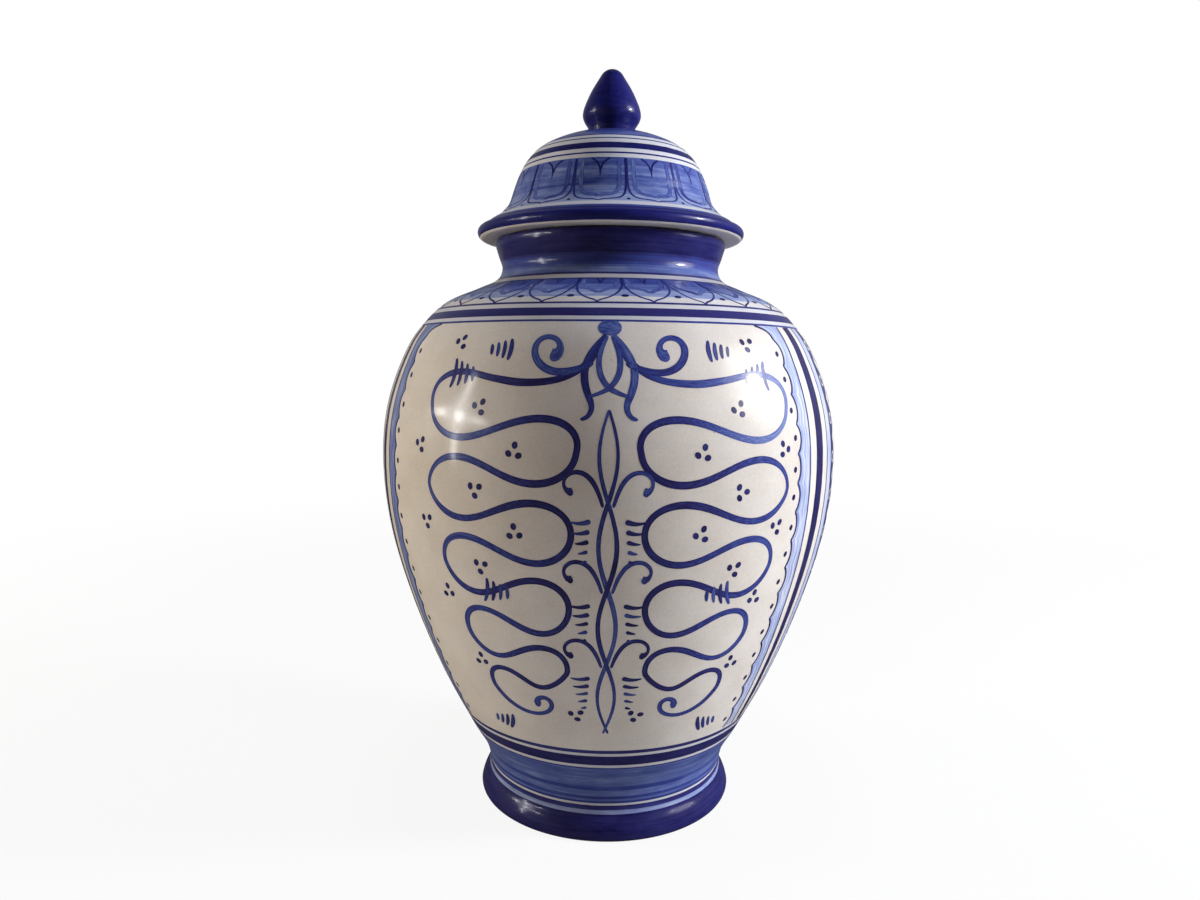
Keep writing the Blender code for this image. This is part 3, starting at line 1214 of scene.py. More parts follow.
@dataclass
class PanelPainting(PaintedField):
    """One large panel: a scalloped border on each side, and between them winding tendrils that
    hang from a knot, mirrored about a twisted stem, with curls, ticks and groups of three dots.

    Flat paths are in millimetres, right of the motif's middle and up from the lower ring.
    """

    motif_offset: float = math.radians(5.7)

    # Half angles of the border's lines from the panel's middle, in degrees.
    cusp_angle: float = 51.2
    thin_line: float = 57.0
    thick_line: Point = (60.3, 64.0)
    grey_line: float = 67.2
    edge_strip: float = 71.6
    scallops: int = 15

    # Where the tendril turns back: heights of its turns, and how far out and in they lie there.
    turns_up: tuple[float, ...] = (197, 176, 139, 103, 67, 36, 22)
    turns_at: tuple[float, ...] = (0.0, 0.5, 1.5, 2.5, 3.5, 4.5, 5.0)
    outer_turns: tuple[Point, ...] = ((187, 92), (175, 90), (139, 91), (103, 82), (67, 70),
                                      (36, 57), (18, 46))
    inner_turns: tuple[Point, ...] = ((187, 6), (157, 14), (121, 16), (85, 17), (50, 18), (20, 30))

    # The twisted stem: its top, its foot, half its width and the height of one of its eyes.
    stem_top: float = 176.0
    stem_foot: float = 12.0
    stem_swing: float = 4.0
    stem_eye: float = 40.0
    hooks: tuple[float, ...] = (134, 94, 54)
    ladders_below: float = 6.0

    # Groups of three dots, as (right, up), and how large they are.
    dot_groups: tuple[Point, ...] = ((74, 207), (60, 176), (98, 157), (42, 157), (62, 139),
                                     (94, 121), (42, 121), (82, 86), (60, 103), (64, 50), (14, 24))
    group_radius: float = 2.8
    # The right border is nearer, so what lies outside a tendril is drawn in on that side.
    outside: float = 70.0
    drawn_in: float = 0.9
    # Groups of four ticks, as (right, up, lean in degrees, length, spacing).
    tick_groups: tuple[tuple[float, ...], ...] = (
        (45, 203, 104, 11, 3.4), (76, 191, 100, 15, -3.6), (57, 91, 100, 13, -3.5),
        (48, 12, 104, 11, 3.4))
    # How much shorter and narrower each tick of a row is than the one before it.
    shorter: float = 0.17
    narrower: float = 0.15
    # From a tick's lean to its first direction, in degrees, and its bends.
    tick_turn: float = 160
    tick_bends: Point = (2.6, 3.2)

    # A tendril's winding line: where it starts and ends, in periods, and how steeply it turns.
    winding: tuple[float, float, float] = (0.34, 4.60, 2.0)
    # Its way from the knot to there, and the curl at its end.
    lead: tuple[Point, ...] = ((4, 207), (9, 197.5), (20, 190), (37, 187.5), (53, 189.2))
    tail: Legs = ((20, -1.0, -5.5), (15, -7, -17), (6, -18, -26))
    # How hard its brush is pressed at millimetres across and up.
    pressed_across: Curve = ((15, 1.0), (45, 1.1), (80, 0.95), (92, 0.72))
    pressed_up: Curve = ((20, 0.72), (70, 0.95), (200, 1.0))
    # The right one is paler near its start, next to the bright spark on the right: partly a nearly
    # dry brush, partly painted sheen of that highlight. This is what it lacks, by millimetres
    # along.
    dry_and_sheen_start: Curve = ((0, 0.10), (50, 0.22), (100, 0.30), (125, 0.24), (170, 0.0))

    # The knot at the top: its left end, its length and width in millimetres, and its load.
    knot_start: Point = (-5.2, 214.6)
    knot_length: float = 10.4
    knot_brush: Brush = (8.2, 0.72)
    # A hook: how far from the middle it starts, its first direction and its legs.
    hook_start: float = 2.2
    hook_heading: float = 74
    hook_legs: Legs = ((13, 0, -3.4), (13, -5.5, -11), (9, -12, -19))
    # A column of ticks: how far from the middle the first starts and how much further each next
    # one, their spacing, and the first one's direction, length and bends.
    ladder_start: float = 7.5
    ladder_drift: float = 0.4
    ladder_spacing: float = 4.6
    rung_heading: float = -26
    rung_length: float = 9.5
    rung_bends: Point = (4.5, 5.5)

    # The border's lines: how far they sway and lean in degrees, and how often they sway.
    border_sway: float = 0.35
    border_lean: float = 0.25
    border_waves: float = 5
    # A scallop's bulge outwards and its dot's offset, in millimetres, and how far each varies.
    bulge: Point = (2.7, 0.4)
    dot_offset: Point = (-2.2, 0.5)
    dot_lean: float = 25
    # The pale strip on the right and on the left, the thick line, and the strip at the edge. The
    # left strip's heavier load is partly the wash's own unevenness, partly painted shade.
    pale_loads_left_shaded: Point = (0.19, 0.42)
    thick_load: float = 0.96
    edge_load: float = 0.14

    tendril_brush: Brush = (3.2, 0.88)
    stem_brush: Brush = (2.2, 0.82)
    hook_brush: Brush = (3.0, 0.86)
    rung_brush: Brush = (2.5, 0.86)
    tick_brush: Brush = (2.3, 0.84)
    scallop_brush: Brush = (1.25, 1.0)
    thin_brush: Brush = (1.2, 0.96)
    grey_brush: Brush = (1.1, 0.86)
    # Length and width of the dots in millimetres, in the groups and beside the scallops.
    group_dot: Point = (3.3, 2.8)
    group_load: float = 0.90
    border_dot: Point = (3.0, 2.5)

    def __post_init__(self) -> None:
        """Start the two pieces of brushwork."""
        super().__post_init__()
        name = "front" if math.cos(self.middle) > 0 else "back"
        self.lines = BrushWork(f"panel_lines_{name}", self.surface, seed=3)
        self.border = BrushWork(f"panel_border_{name}", self.surface, seed=5)

    def lay(self, path: Array, side: int = 1) -> Array:
        """Lay a flat path on the panel.

        Args:
            path: its points.
            side: 1 as it is, -1 for its mirror on the left.

        Returns:
            Its (turn, run) places.
        """
        run = self.foot + path[:, 1] * MM
        turn = self.middle + self.motif_offset + side * path[:, 0] * MM / self.surface.radius(run)
        return np.column_stack((turn, run))

    def tendril(self, side: int) -> None:
        """Draw one winding tendril, from the knot down to its curled end.

        Args:
            side: 1 for the right one, -1 for its mirror on the left.
        """
        course = meander(*self.winding)
        up = np.interp(course[:, 1], self.turns_at, self.turns_up)
        outer, inner = (np.interp(-up, -np.array(turns)[:, 0], np.array(turns)[:, 1])
                        for turns in (self.outer_turns, self.inner_turns))
        line = np.column_stack(((outer + inner) / 2 + (outer - inner) / 2 * course[:, 0], up))
        last = line[-1] - line[-9]
        tail = curl(tuple(line[-1]), math.degrees(math.atan2(last[1], last[0])), self.tail)
        # The last station only gives the lead its direction where it joins the winding line.
        ahead, chords = 60, 10
        stations = [*self.lead, tuple(line[0]), tuple(line[ahead])]
        lead = smooth_points(stations, chords)[:-chords - 1]
        path = np.concatenate((lead, line[1:], tail[1:]))
        weight = read_curve(self.pressed_across, path[:, 0])
        weight = weight * read_curve(self.pressed_up, path[:, 1])
        # The brush is pressed down once more where the tendril ends.
        end, hardest = 12, 1.9
        weight[-end:] *= np.linspace(1.0, hardest, end)
        place = self.lay(path, side)
        # Only the right tendril is paled: partly dry brush, partly painted highlight sheen.
        thinner = read_curve(self.dry_and_sheen_start, self.lines.metric(place) / MM) * (side > 0)
        self.lines.stroke(place, *self.tendril_brush, weight=weight, thinner=thinner)

    def hanging_bud(self, side: int) -> None:
        """Draw half of the bud that hangs from the knot, and the curl beside it.

        Args:
            side: 1 for the right half, -1 for its mirror on the left.
        """
        shapes = (
            ((7, 197), -27, ((16, 0.6, 2.9), (18, 4, 6.9), (16, 8, 11.5), (8, 12.6, 17)), 5.0,
             Touch.DROP),
            ((1.5, 211), -52, ((19, 0, -2.9), (15, -3.4, -1.1), (11, 7, 14)), 3.3, Touch.SWELL),
            ((0.8, 210), -64, ((13, -0.6, -2.9), (16, -2.9, -5.4), (7, -2.3, 0)), 2.6, Touch.SWELL))
        for start, heading, legs, width, touch in shapes:
            self.lines.stroke(self.lay(curl(start, heading, legs), side), width, 0.78, touch,
                              coat=1)

    def stem(self) -> None:
        """Draw the twisted stem and the pairs of hooks that leave it."""
        up = np.linspace(self.stem_top, self.stem_foot, 300)
        sway = self.stem_swing * np.sin(math.pi * (up - self.stem_top) / self.stem_eye)
        for side in (1, -1):
            self.lines.stroke(self.lay(np.column_stack((sway, up)), side), *self.stem_brush,
                              Touch.SWELL, coat=1 + (side > 0))
            for level in self.hooks:
                hook = curl((self.hook_start, level), self.hook_heading, self.hook_legs)
                self.lines.stroke(self.lay(hook, side), *self.hook_brush, Touch.DROP, coat=1)

    def ladders(self) -> None:
        """Draw a column of ticks below each hook, each shorter than the one above it."""
        width, load = self.rung_brush
        for level in self.hooks:
            for side in (1, -1):
                for k in range(5):
                    start = (self.ladder_start + self.ladder_drift * k,
                             level - self.ladders_below - self.ladder_spacing * k)
                    length = self.rung_length * (1 - self.shorter * k)
                    path = curl(start, self.rung_heading, ((length, *self.rung_bends),))
                    self.lines.stroke(self.lay(path, side), width - self.narrower * k, load,
                                      Touch.TICK, coat=3)

    def fillers(self) -> None:
        """Draw the groups of three dots and the short ticks."""
        for across, up in self.dot_groups:
            for side in (1, -1):
                first = self.lines.random.uniform(0, 120)
                inwards = self.drawn_in if side > 0 and across > self.outside else 1.0
                for k in range(3):
                    angle = math.radians(first + 120 * k)
                    spot = np.array([[side * across * inwards + self.group_radius * math.cos(angle),
                                      up + self.group_radius * math.sin(angle)]])
                    self.lines.dot(tuple(self.lay(spot)[0]), *self.group_dot, first + 60 * k,
                                   self.group_load)
        width, load = self.tick_brush
        for across, up, lean, length, spread in self.tick_groups:
            for side in (1, -1):
                for k in range(4):
                    size = length * (1 - self.shorter * k)
                    path = curl((across + spread * k, up + size / 2), lean + self.tick_turn,
                                ((size, *self.tick_bends),))
                    self.lines.stroke(self.lay(path, side), width - self.narrower * k, load,
                                      Touch.SWELL, coat=3)

    def border_line(self, angle: float, wander: float) -> Array:
        """An upright line of the border, from the lower to the upper ring.

        Args:
            angle: its half angle from the panel's middle, in degrees, positive to the right.
            wander: where its small sway starts.

        Returns:
            Its (turn, run) places.
        """
        run = np.linspace(self.foot, self.head, 170)
        share = (run - self.foot) / (self.head - self.foot)
        drift = self.border_sway * np.sin(self.border_waves * share + wander)
        drift = drift + self.border_lean * (0.5 - share) * np.sign(angle)
        return np.column_stack((self.middle + np.radians(angle + drift), run))

    def scallop_edge(self, side: int) -> tuple[Array, Array]:
        """The scalloped line inside the border, and the places of the dots beside it.

        Args:
            side: 1 for the right border, -1 for the left.

        Returns:
            The (turn, run) places of the line, and of one dot for each scallop.
        """
        points, dots = [], []
        (bulge, bulge_change), (offset, offset_change) = self.bulge, self.dot_offset
        # The scallops leave room for the corner at the upper ring. No two are quite alike.
        start, corner = self.foot + 1 * MM, 9 * MM
        spacing = (self.head - self.foot - corner) / self.scallops
        for i in range(self.scallops):
            low = start + i * spacing
            out = (bulge + bulge_change * math.sin(2.4 * i)) * MM
            for share in np.linspace(0, 1, 14, endpoint=False):
                points.append((out * (1 - (2 * share - 1) ** 2) ** 0.8, low + spacing * share))
            dots.append(((offset + offset_change * math.sin(4.1 * i)) * MM,
                         low + spacing * (0.5 + 0.08 * math.sin(3.1 * i))))
        top = start + self.scallops * spacing
        for share in np.linspace(0, 1, 16):
            points.append((-corner * share ** 2.2, top + (self.head - top) * share ** 0.7))

        def to_places(offsets: list[Point]) -> Array:
            """Lay points beside the line of the cusps.

            Args:
                offsets: for each its offset outwards in metres, and its run.

            Returns:
                Their (turn, run) places.
            """
            offset, run = np.array(offsets).T
            angle = math.radians(self.cusp_angle) + offset / self.surface.radius(run)
            return np.column_stack((self.middle + side * angle, run))

        return to_places(points), to_places(dots)

    def borders(self) -> None:
        """Draw both borders: the scallops and their dots, the pale strips and the upright lines."""
        for side in (1, -1):
            edge, dots = self.scallop_edge(side)
            thin, near, far, grey, last = (
                self.border_line(side * angle, wander) for angle, wander in (
                    (self.thin_line, side), (self.thick_line[0], 2), (self.thick_line[1], 3),
                    (self.grey_line, 4), (self.edge_strip, 5)))
            self.border.stroke(edge, *self.scallop_brush, coat=1)
            for place in dots:
                self.border.dot(tuple(place), *self.border_dot, 90 - self.dot_lean * side, 1.0)
            strip = np.column_stack((np.interp(edge[:, 1], thin[:, 1], thin[:, 0]), edge[:, 1]))
            # The left pale strip is washed heavier, partly as painted shade.
            self.border.wash(edge, strip, side, self.pale_loads_left_shaded[side < 0], columns=8)
            self.border.stroke(thin, *self.thin_brush, coat=1)
            self.border.wash(near, far, side, self.thick_load)
            self.border.stroke(grey, *self.grey_brush, coat=1)
            self.border.wash(grey, last, side, self.edge_load)

    def build(self, finish: Material) -> list[Piece]:
        """Paint the panel.

        Args:
            finish: the brushwork's material.

        Returns:
            Its pieces.
        """
        for side in (1, -1):
            self.tendril(side)
            self.hanging_bud(side)
        self.stem()
        self.ladders()
        knot = curl(self.knot_start, 0, ((self.knot_length, 0, 0),))
        self.lines.stroke(self.lay(knot), *self.knot_brush, coat=4)
        self.fillers()
        self.borders()
        return [self.lines.build(finish), self.border.build(finish)]


@dataclass
class SideBand(PaintedField):
    """The narrow band between the panels: a dark scalloped edge, and a running scroll between."""

    name: str = "side_band"
    half_angle: float = 18.4
    edge_scallops: int = 11
    # The dark edge's inner line and how deep its scallops are, as shares of the half width.
    edge_inner: float = 0.86
    edge_depth: float = 0.16
    edge_load: float = 0.84
    # The white rings in it: how far out, and their radii and line width in millimetres.
    ring_place: float = 0.85
    ring_radii: Point = (3.2, 2.5)
    ring_width: float = 1.2
    # The running stem: its waves, and how far it swings, as a share of the half width.
    waves: float = 3.0
    swing: float = 0.42

    # The volute in each bay, in millimetres and as a share of the half width.
    volute_size: float = 11.5
    volute_hub: float = 0.17
    volute_turns: Point = (1.12 * math.pi, -2.3 * math.pi)
    volute_end: float = 0.16
    # Its way from the stem, as shares of the half width and of the bay.
    volute_lead: tuple[Point, ...] = ((0.12, -0.58), (-0.02, -0.38))
    # A leaf's lean off the stem, its length as a share of the half width, and its bends.
    leaf_lean: float = 44.0
    leaf_length: float = 0.26
    leaf_bends: Point = (1.0, 7.0)
    # Three dots in each bay: a share of the half width out, and millimetres up and apart.
    dots_out: float = 0.52
    dots_up: float = 15.5
    dots_radius: float = 2.6
    dot_size: Point = (3.0, 2.5)
    dot_load: float = 0.88
    stem_brush: Brush = (3.6, 0.84)
    volute_brush: Brush = (2.9, 0.86)
    leaf_brush: Brush = (4.6, 0.76)

    def __post_init__(self) -> None:
        """Start the band's brushwork."""
        super().__post_init__()
        self.work = BrushWork(self.name, self.surface, seed=11)

    def lay(self, path: Array) -> Array:
        """Lay a path whose first number is a share of the band's half width.

        Args:
            path: share of the half width, and millimetres up from the lower line.

        Returns:
            Its (turn, run) places.
        """
        run = self.foot + path[:, 1] * MM
        return np.column_stack((self.middle + path[:, 0] * math.radians(self.half_angle), run))

    def edges(self) -> None:
        """Draw the dark edge on both sides, with a white ring in each of its scallops."""
        count, angle = self.edge_scallops, np.linspace(0, FULL_TURN, 24)
        up = np.linspace(0, self.length, count * 16 + 1)
        wave = np.abs(np.sin(math.pi * count * up / self.length))
        for side in (1, -1):
            line = side * (self.edge_inner - self.edge_depth * wave)
            inner = self.lay(np.column_stack((line, up)))
            outer = self.lay(np.column_stack((np.full_like(up, side), up)))
            self.work.wash(inner, outer, side, self.edge_load, columns=4)
            for i in range(count):
                level = (i + 0.5) * self.length / count
                reach = self.ring_radii[0] / self.half_width(self.half_angle, level)
                ring = np.column_stack((side * self.ring_place + reach * np.cos(angle),
                                        level + self.ring_radii[1] * np.sin(angle)))
                self.work.stroke(self.lay(ring), self.ring_width, 0.0, coat=2)

    def scroll(self) -> None:
        """Draw the running stem, and in each bay a volute that leaves it, leaves and dots."""
        up = np.linspace(3, self.length - 3, 260)
        pace, bay = self.waves * FULL_TURN / self.length, self.length / self.waves / 2
        stem = np.column_stack((self.swing * np.sin(pace * up), up))
        self.work.stroke(self.lay(stem), *self.stem_brush)
        for i in range(int(self.waves * 2)):
            side = 1 if i % 2 else -1
            centre = (i + 0.5) * bay
            scale = self.half_width(self.half_angle, centre)
            angle = np.linspace(*self.volute_turns, 90)
            size = self.volute_size * np.linspace(1.0, self.volute_end, 90)
            spiral = np.column_stack((self.volute_hub * scale + size * np.cos(angle),
                                      size * np.sin(angle)))
            lead = smooth_points([*((x * scale, y * bay) for x, y in self.volute_lead),
                                  tuple(spiral[0]), tuple(spiral[6])], 8)[:-9]
            volute = np.concatenate((lead, spiral)) * (side / scale, 1) + (0, centre)
            self.work.stroke(self.lay(volute), *self.volute_brush, Touch.DROP, coat=1)
            for share in (0.2, 0.4, 0.6, 0.8):
                level = (i + share) * bay
                across = self.swing * math.sin(pace * level) * scale
                drift = self.swing * math.cos(pace * level) * pace * scale
                heading = math.degrees(math.atan2(1, drift)) + side * self.leaf_lean
                bends = (-side * bend for bend in self.leaf_bends)
                leaf = curl((across, level), heading, ((self.leaf_length * scale, *bends),))
                self.work.stroke(self.lay(leaf / (scale, 1)), *self.leaf_brush, Touch.TICK,
                                 coat=1)
            for k in range(3):
                turn = 2.1 * k + i
                spot = self.lay(np.array([[
                    side * self.dots_out + self.dots_radius * math.cos(turn) / scale,
                    centre + self.dots_up + self.dots_radius * math.sin(turn)]]))[0]
                if spot[1] < self.head - 4 * MM:
                    self.work.dot(tuple(spot), *self.dot_size, 60.0 * k, self.dot_load)

    def build(self, finish: Material) -> Piece:
        """Paint the band.

        Args:
            finish: the brushwork's material.

        Returns:
            Its piece.
        """
        self.edges()
        self.scroll()
        return self.work.build(finish)


@dataclass
class PetalFrieze:
    """A ring of petals that hang from a line: outlines, a broad inner line, a short stem and dots.

    Shapes are given for the right half of one petal, as (share of the pitch from its middle,
    share of the way down).
    """

    name: str
    surface: TurnedLine
    top: float
    bottom: float
    count: int
    first: float
    outline: tuple[Point, ...]
    inner: tuple[Point, ...]
    notch: tuple[Point, ...]
    dot_drop: float
    dot_size: Point
    inner_width: float
    inner_load: float = 0.70
    outline_brush: Brush = (1.0, 0.95)
    notch_brush: Brush = (1.0, 0.93)
    stem_drop: float = 0.12
    dot_load: float = 0.96

    def lay(self, petal: int, half: Array, side: int) -> Array:
        """Lay half a shape on the surface.

        Args:
            petal: which petal.
            half: its points.
            side: 1 for the right half, -1 for the left.

        Returns:
            Its (turn, run) places.
        """
        pitch = FULL_TURN / self.count
        high, low = self.surface.run_at(self.top), self.surface.run_at(self.bottom)
        turn = math.radians(self.first) + (petal + side * half[:, 0]) * pitch
        return np.column_stack((turn, high + half[:, 1] * (low - high)))

    def build(self, finish: Material) -> Piece:
        """Paint the ring.

        Args:
            finish: the brushwork's material.

        Returns:
            Its piece.
        """
        work = BrushWork(self.name, self.surface, seed=17)
        for petal in range(self.count):
            for side in (1, -1):
                for shape, brush, coat in (
                        (self.inner, (self.inner_width, self.inner_load), 0),
                        (self.outline, self.outline_brush, 1),
                        (self.notch, self.notch_brush, 1)):
                    half = smooth_points(list(shape), 8)
                    work.stroke(self.lay(petal, half, side), *brush, coat=coat)
            stem = np.array([self.notch[-1], (0.0, self.notch[-1][1] + self.stem_drop)])
            work.stroke(self.lay(petal, stem, 1), *self.notch_brush, Touch.TICK, coat=1)
            place = self.lay(petal, np.array([[0.5, self.dot_drop]]), 1)[0]
            work.dot(tuple(place), *self.dot_size, 0.0, self.dot_load, coat=1)
        return work.build(finish)


# --- The studio ----------------------------------------------------------------------------------

@dataclass(frozen=True)
class SoftBox:
    """A large diffused lamp. Its own reflection is left to the sparks, so that the glaze keeps
    small bright points as under a bare flash tube.

    Angles are in degrees from the front towards the right and up. The colour is sRGB hex.
    """

    name: str
    azimuth: float
    elevation: float
    watts: float
    tint: str
    size: float = 0.35


@dataclass(frozen=True)
class Spark:
    """A flash tube's reflection: a small bright core, two crossed rays and a dim veil round it."""

    name: str
    azimuth: float
    elevation: float
    core_watts: float
    ray_watts: float
    veil_watts: float
    turn: float
    core_size: float
    veil_size: float
    ray_width: float
    ray_length: float = 0.80


@dataclass
class Studio:
    """A plain white room: a pale floor, a surround, a lamp on each side and above, the camera."""

    lens: float = 25.08
    sensor: float = 36.0
    camera_place: tuple[float, float, float] = (-0.0046, -0.47675, 0.2455)
    camera_tilt: float = 83.94
    camera_roll: float = 0.6
    floor_size: float = 8.0
    paper_shade: float = 0.6
    # How much of the shadow is lifted at the foot, and where it is gone, in metres from the jar.
    shadow_fade: float = 0.90
    fade_from: float = 0.3
    fade_to: float = 1.2
    floor_in_glaze: float = 0.07
    front_light: float = 0.02
    back_light: float = 0.25
    # How far to the front and back the surround's light changes, from -1 to 1.
    surround_turn: Point = (-0.2, 0.8)
    lamp_reach: float = 1.3
    aim: tuple[float, float, float] = (0.0, 0.0, 0.21)
    boxes: tuple[SoftBox, ...] = (
        SoftBox("box_left", -95.0, 7.0, 14.5, "#fff4e0"),
        SoftBox("box_right", 83.0, 18.0, 32.5, "#f6f8ff"),
        SoftBox("box_front", -35.0, 5.0, 0.8, "#ffc080"),
        SoftBox("box_top", 0.0, 85.0, 6.5, "#dde8ff"))
    sparks: tuple[Spark, ...] = (
        Spark("spark_left", -75.0, 12.5, 0.8, 4.2, 1.3, 0.0, 0.09, 0.42, 0.055),
        Spark("spark_right", 79.0, 25.0, 9.0, 5.0, 6.5, 25.0, 0.13, 0.75, 0.06))

    def place_camera(self) -> None:
        """Set up the camera as the photograph was taken."""
        data = bpy.data.cameras.new("camera")
        data.lens, data.sensor_width, data.clip_start = self.lens, self.sensor, 10 * MM
        camera = place_object("camera", data)
        turn = Euler((math.radians(self.camera_tilt), 0, 0)).to_matrix().to_4x4()
        roll = Matrix.Rotation(math.radians(self.camera_roll), 4, "Z")
        camera.matrix_world = Matrix.Translation(self.camera_place) @ turn @ roll
        bpy.context.scene.camera = camera

    def hang(self, name: str, lamp: SoftBox | Spark, watts: float, size: Point,
             turn: float = 0.0) -> bpy.types.Object:
        """Hang one light that faces the jar.

        Args:
            name: its name.
            lamp: the lamp that it is or belongs to, which gives its direction.
            watts: its power.
            size: its width and height in metres.
            turn: its turn about the way it faces, in degrees.

        Returns:
            The light.
        """
        side, rise = math.radians(lamp.azimuth), math.radians(lamp.elevation)
        way = np.array((math.sin(side) * math.cos(rise), -math.cos(side) * math.cos(rise),
                        math.sin(rise)))
        data = bpy.data.lights.new(name, "AREA")
        data.shape, data.energy = "ELLIPSE", watts
        data.size, data.size_y = size
        light = place_object(name, data)
        facing = Euler((math.pi / 2 - rise, 0, side)).to_matrix().to_4x4()
        place = Matrix.Translation(np.array(self.aim) + way * self.lamp_reach)
        light.matrix_world = place @ facing @ Matrix.Rotation(math.radians(turn), 4, "Z")
        return light

    def hang_lamps(self) -> None:
        """Hang the lamps: boxes that only light, and sparks that only show in the glaze."""
        for box in self.boxes:
            light = self.hang(box.name, box, box.watts, (box.size,) * 2)
            light.data.color = linear(box.tint)[:3]
            light.visible_glossy = False
        for spark in self.sparks:
            ray = (spark.ray_length, spark.ray_width)
            for part, watts, size, turn in (
                    ("core", spark.core_watts, (spark.core_size,) * 2, 0.0),
                    ("veil", spark.veil_watts, (spark.veil_size,) * 2, 0.0),
                    ("ray_level", spark.ray_watts, ray, spark.turn),
                    ("ray_upright", spark.ray_watts, ray, spark.turn + 90.0)):
                light = self.hang(f"{spark.name}_{part}", spark, watts, size, turn)
                light.visible_diffuse = False

    def light_surround(self) -> None:
        """Light the surround, which is brightest behind the jar and white to the camera."""
        world = bpy.data.worlds.new("white_surround")
        bpy.context.scene.world = world
        world.use_nodes = True
        world.node_tree.nodes.clear()
        add = partial(add_node, world.node_tree)
        way = add("TexCoord", out="Generated")
        glow = add("MapRange", {
            "Value": add("SeparateXYZ", {0: way}, 1), "From Min": self.surround_turn[0],
            "From Max": self.surround_turn[1], "To Min": self.front_light,
            "To Max": self.back_light}, interpolation_type="SMOOTHSTEP")
        strength = add("Mix", {"Factor": add("LightPath", out="Is Camera Ray"), 2: glow, 3: 1.0})
        light = add("Background", {"Color": (1, 1, 1, 1), "Strength": strength})
        add("OutputWorld", {"Surface": light})

    def lay_floor(self) -> None:
        """Lay the floor: matt white paper that keeps a faint shadow and fades into the white."""
        half = self.floor_size / 2
        corners = [(-half, -half, 0), (half, -half, 0), (half, half, 0), (-half, half, 0)]
        material, add = blank_material("white_paper")
        floor = make_piece("floor", corners, [(0, 1, 2, 3)], [material])
        floor.location.z = -0.1 * MM
        paper = add("BsdfDiffuse", {"Color": (*(self.paper_shade,) * 3, 1)})
        white = add("Emission", {"Color": (1, 1, 1, 1), "Strength": 1.0})
        dim = add("Emission", {"Color": (1, 1, 1, 1), "Strength": self.floor_in_glaze})
        away = add("VectorMath", {0: add("TexCoord", out="Object")}, "Value", operation="LENGTH")
        faded = add("MapRange", {
            "Value": away, "From Min": self.fade_from, "From Max": self.fade_to,
            "To Min": self.shadow_fade, "To Max": 1.0}, interpolation_type="SMOOTHSTEP")
        share = add("Math", {0: add("LightPath", out="Is Camera Ray"), 1: faded},
                    operation="MULTIPLY")
        mixed = add("MixShader", {0: share, 1: paper, 2: white})
        seen = add("MixShader", {0: add("LightPath", out="Is Glossy Ray"), 1: mixed, 2: dim})
        add("OutputMaterial", {"Surface": seen})

    def build(self) -> None:
        """Set up the whole studio."""
        self.place_camera()
        self.hang_lamps()
        self.light_surround()
        self.lay_floor()
        bpy.context.scene.view_settings.view_transform = "Standard"


def seat(piece: Piece, body: str, slot: str, *nodes: str) -> None:
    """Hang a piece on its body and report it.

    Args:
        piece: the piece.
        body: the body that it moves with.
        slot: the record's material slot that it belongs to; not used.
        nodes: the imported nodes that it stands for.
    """
    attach(piece, body)
    if nodes:
        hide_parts(*nodes)
    LOG.info("%s: %d faces on %s", piece.name, len(piece.data.polygons), body)


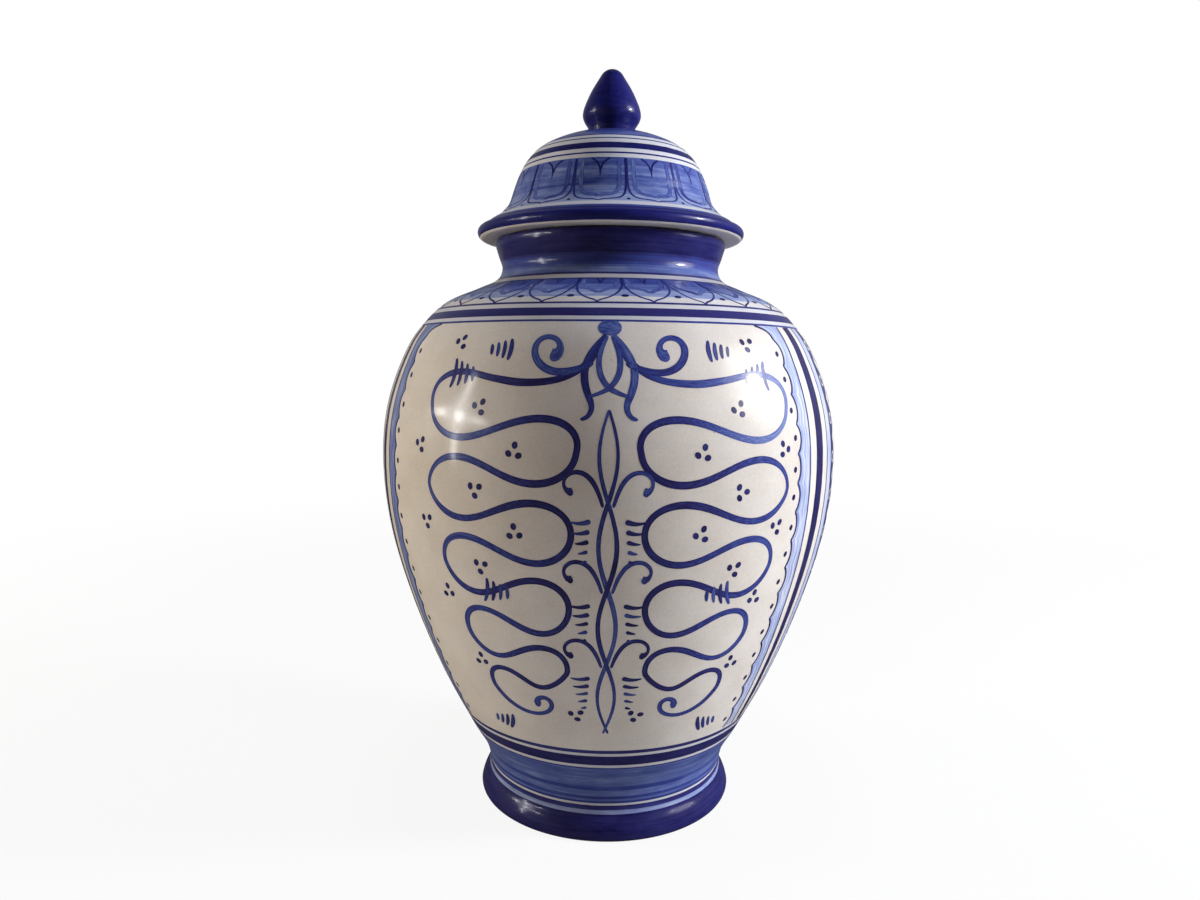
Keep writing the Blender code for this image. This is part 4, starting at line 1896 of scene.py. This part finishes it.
def paint(jar: ThrownJar, lid: DomedLid) -> None:
    """Paint the jar and its lid.

    Args:
        jar: the pot.
        lid: its cover.
    """
    ink = GlossGlaze(heavy=Pigment.INK, heaviest=Pigment.INK_DEEP)
    cobalt = BrushedCobalt("brushed_thin_cobalt_under_glaze", ink).build()
    deep = BrushedCobalt("brushed_deep_cobalt_under_glaze", GlossGlaze()).build()
    panel_turn = math.radians(-6.1)
    for turn in (panel_turn, panel_turn + math.pi):
        for piece in PanelPainting(jar.surface, turn).build(cobalt):
            seat(piece, "jar", "cobalt_glaze")
    for name, turn in (("right", panel_turn + math.pi / 2), ("left", panel_turn - math.pi / 2)):
        band = SideBand(jar.surface, turn, name=f"side_band_{name}")
        seat(band.build(cobalt), "jar", "cobalt_glaze")
    shoulder = PetalFrieze(
        "shoulder_petals", jar.surface, top=285.2, bottom=272.3, count=23, first=-4.0,
        outline=((0.485, 0.02), (0.485, 0.30), (0.455, 0.50), (0.38, 0.70), (0.26, 0.84),
                 (0.13, 0.915), (0.05, 0.95), (0.0, 1.0)),
        inner=((0.40, 0.06), (0.375, 0.28), (0.32, 0.44), (0.21, 0.57), (0.10, 0.64), (0.0, 0.73)),
        notch=((0.10, 0.03), (0.05, 0.10), (0.01, 0.22)), dot_drop=0.83, dot_size=(3.6, 2.2),
        inner_width=2.4)
    crown = PetalFrieze(
        "lid_petals", lid.surface, top=345.8, bottom=322.9, count=13, first=-6.3,
        outline=((0.489, 0.01), (0.487, 0.35), (0.475, 0.62), (0.43, 0.80), (0.34, 0.895),
                 (0.19, 0.93), (0.07, 0.95), (0.0, 0.995)),
        inner=((0.36, 0.03), (0.362, 0.40), (0.345, 0.62), (0.27, 0.755), (0.16, 0.80),
               (0.06, 0.81), (0.0, 0.86)),
        notch=((0.19, 0.01), (0.11, 0.06), (0.04, 0.14), (0.0, 0.27)), dot_drop=0.93,
        dot_size=(1.9, 1.7), inner_width=2.2)
    for frieze, body in ((shoulder, "jar"), (crown, "lid")):
        seat(frieze.build(deep), body, "cobalt_glaze")


def main() -> None:
    """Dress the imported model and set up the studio."""
    logging.basicConfig(level=logging.INFO, format="%(name)s: %(message)s")
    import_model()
    zones = {Zone.PLAIN: BandedGlaze("plain_tin_glaze", (PLAIN_BANDS,)).build(),
             Zone.BARE: BareEarthenware().build()}
    jar, lid = ThrownJar(), DomedLid()
    jar_glaze = BandedGlaze("banded_tin_glaze_jar", (FOOT_BANDS, NECK_BANDS),
                            GlossGlaze(heavy=Pigment.INK)).build()
    lid_glaze = BandedGlaze("banded_tin_glaze_lid", (LID_BANDS,)).build()
    knob_glaze = BandedGlaze("solid_cobalt_glaze", (KNOB_BANDS,)).build()
    for piece, painted, body, slot, node in (
            (jar, jar_glaze, "jar", "jar_glaze", "jar_body"),
            (lid, lid_glaze, "lid", "lid_glaze", "lid_shell"),
            (LidCollar(), zones[Zone.PLAIN], "lid", "plain_glaze", "lid_collar"),
            (Knob(), knob_glaze, "lid", "cobalt_glaze", "finial")):
        seat(piece.build({Zone.PAINTED: painted} | zones), body, slot, node)
    paint(jar, lid)
    Studio().build()


if __name__ == "__main__":
    main()
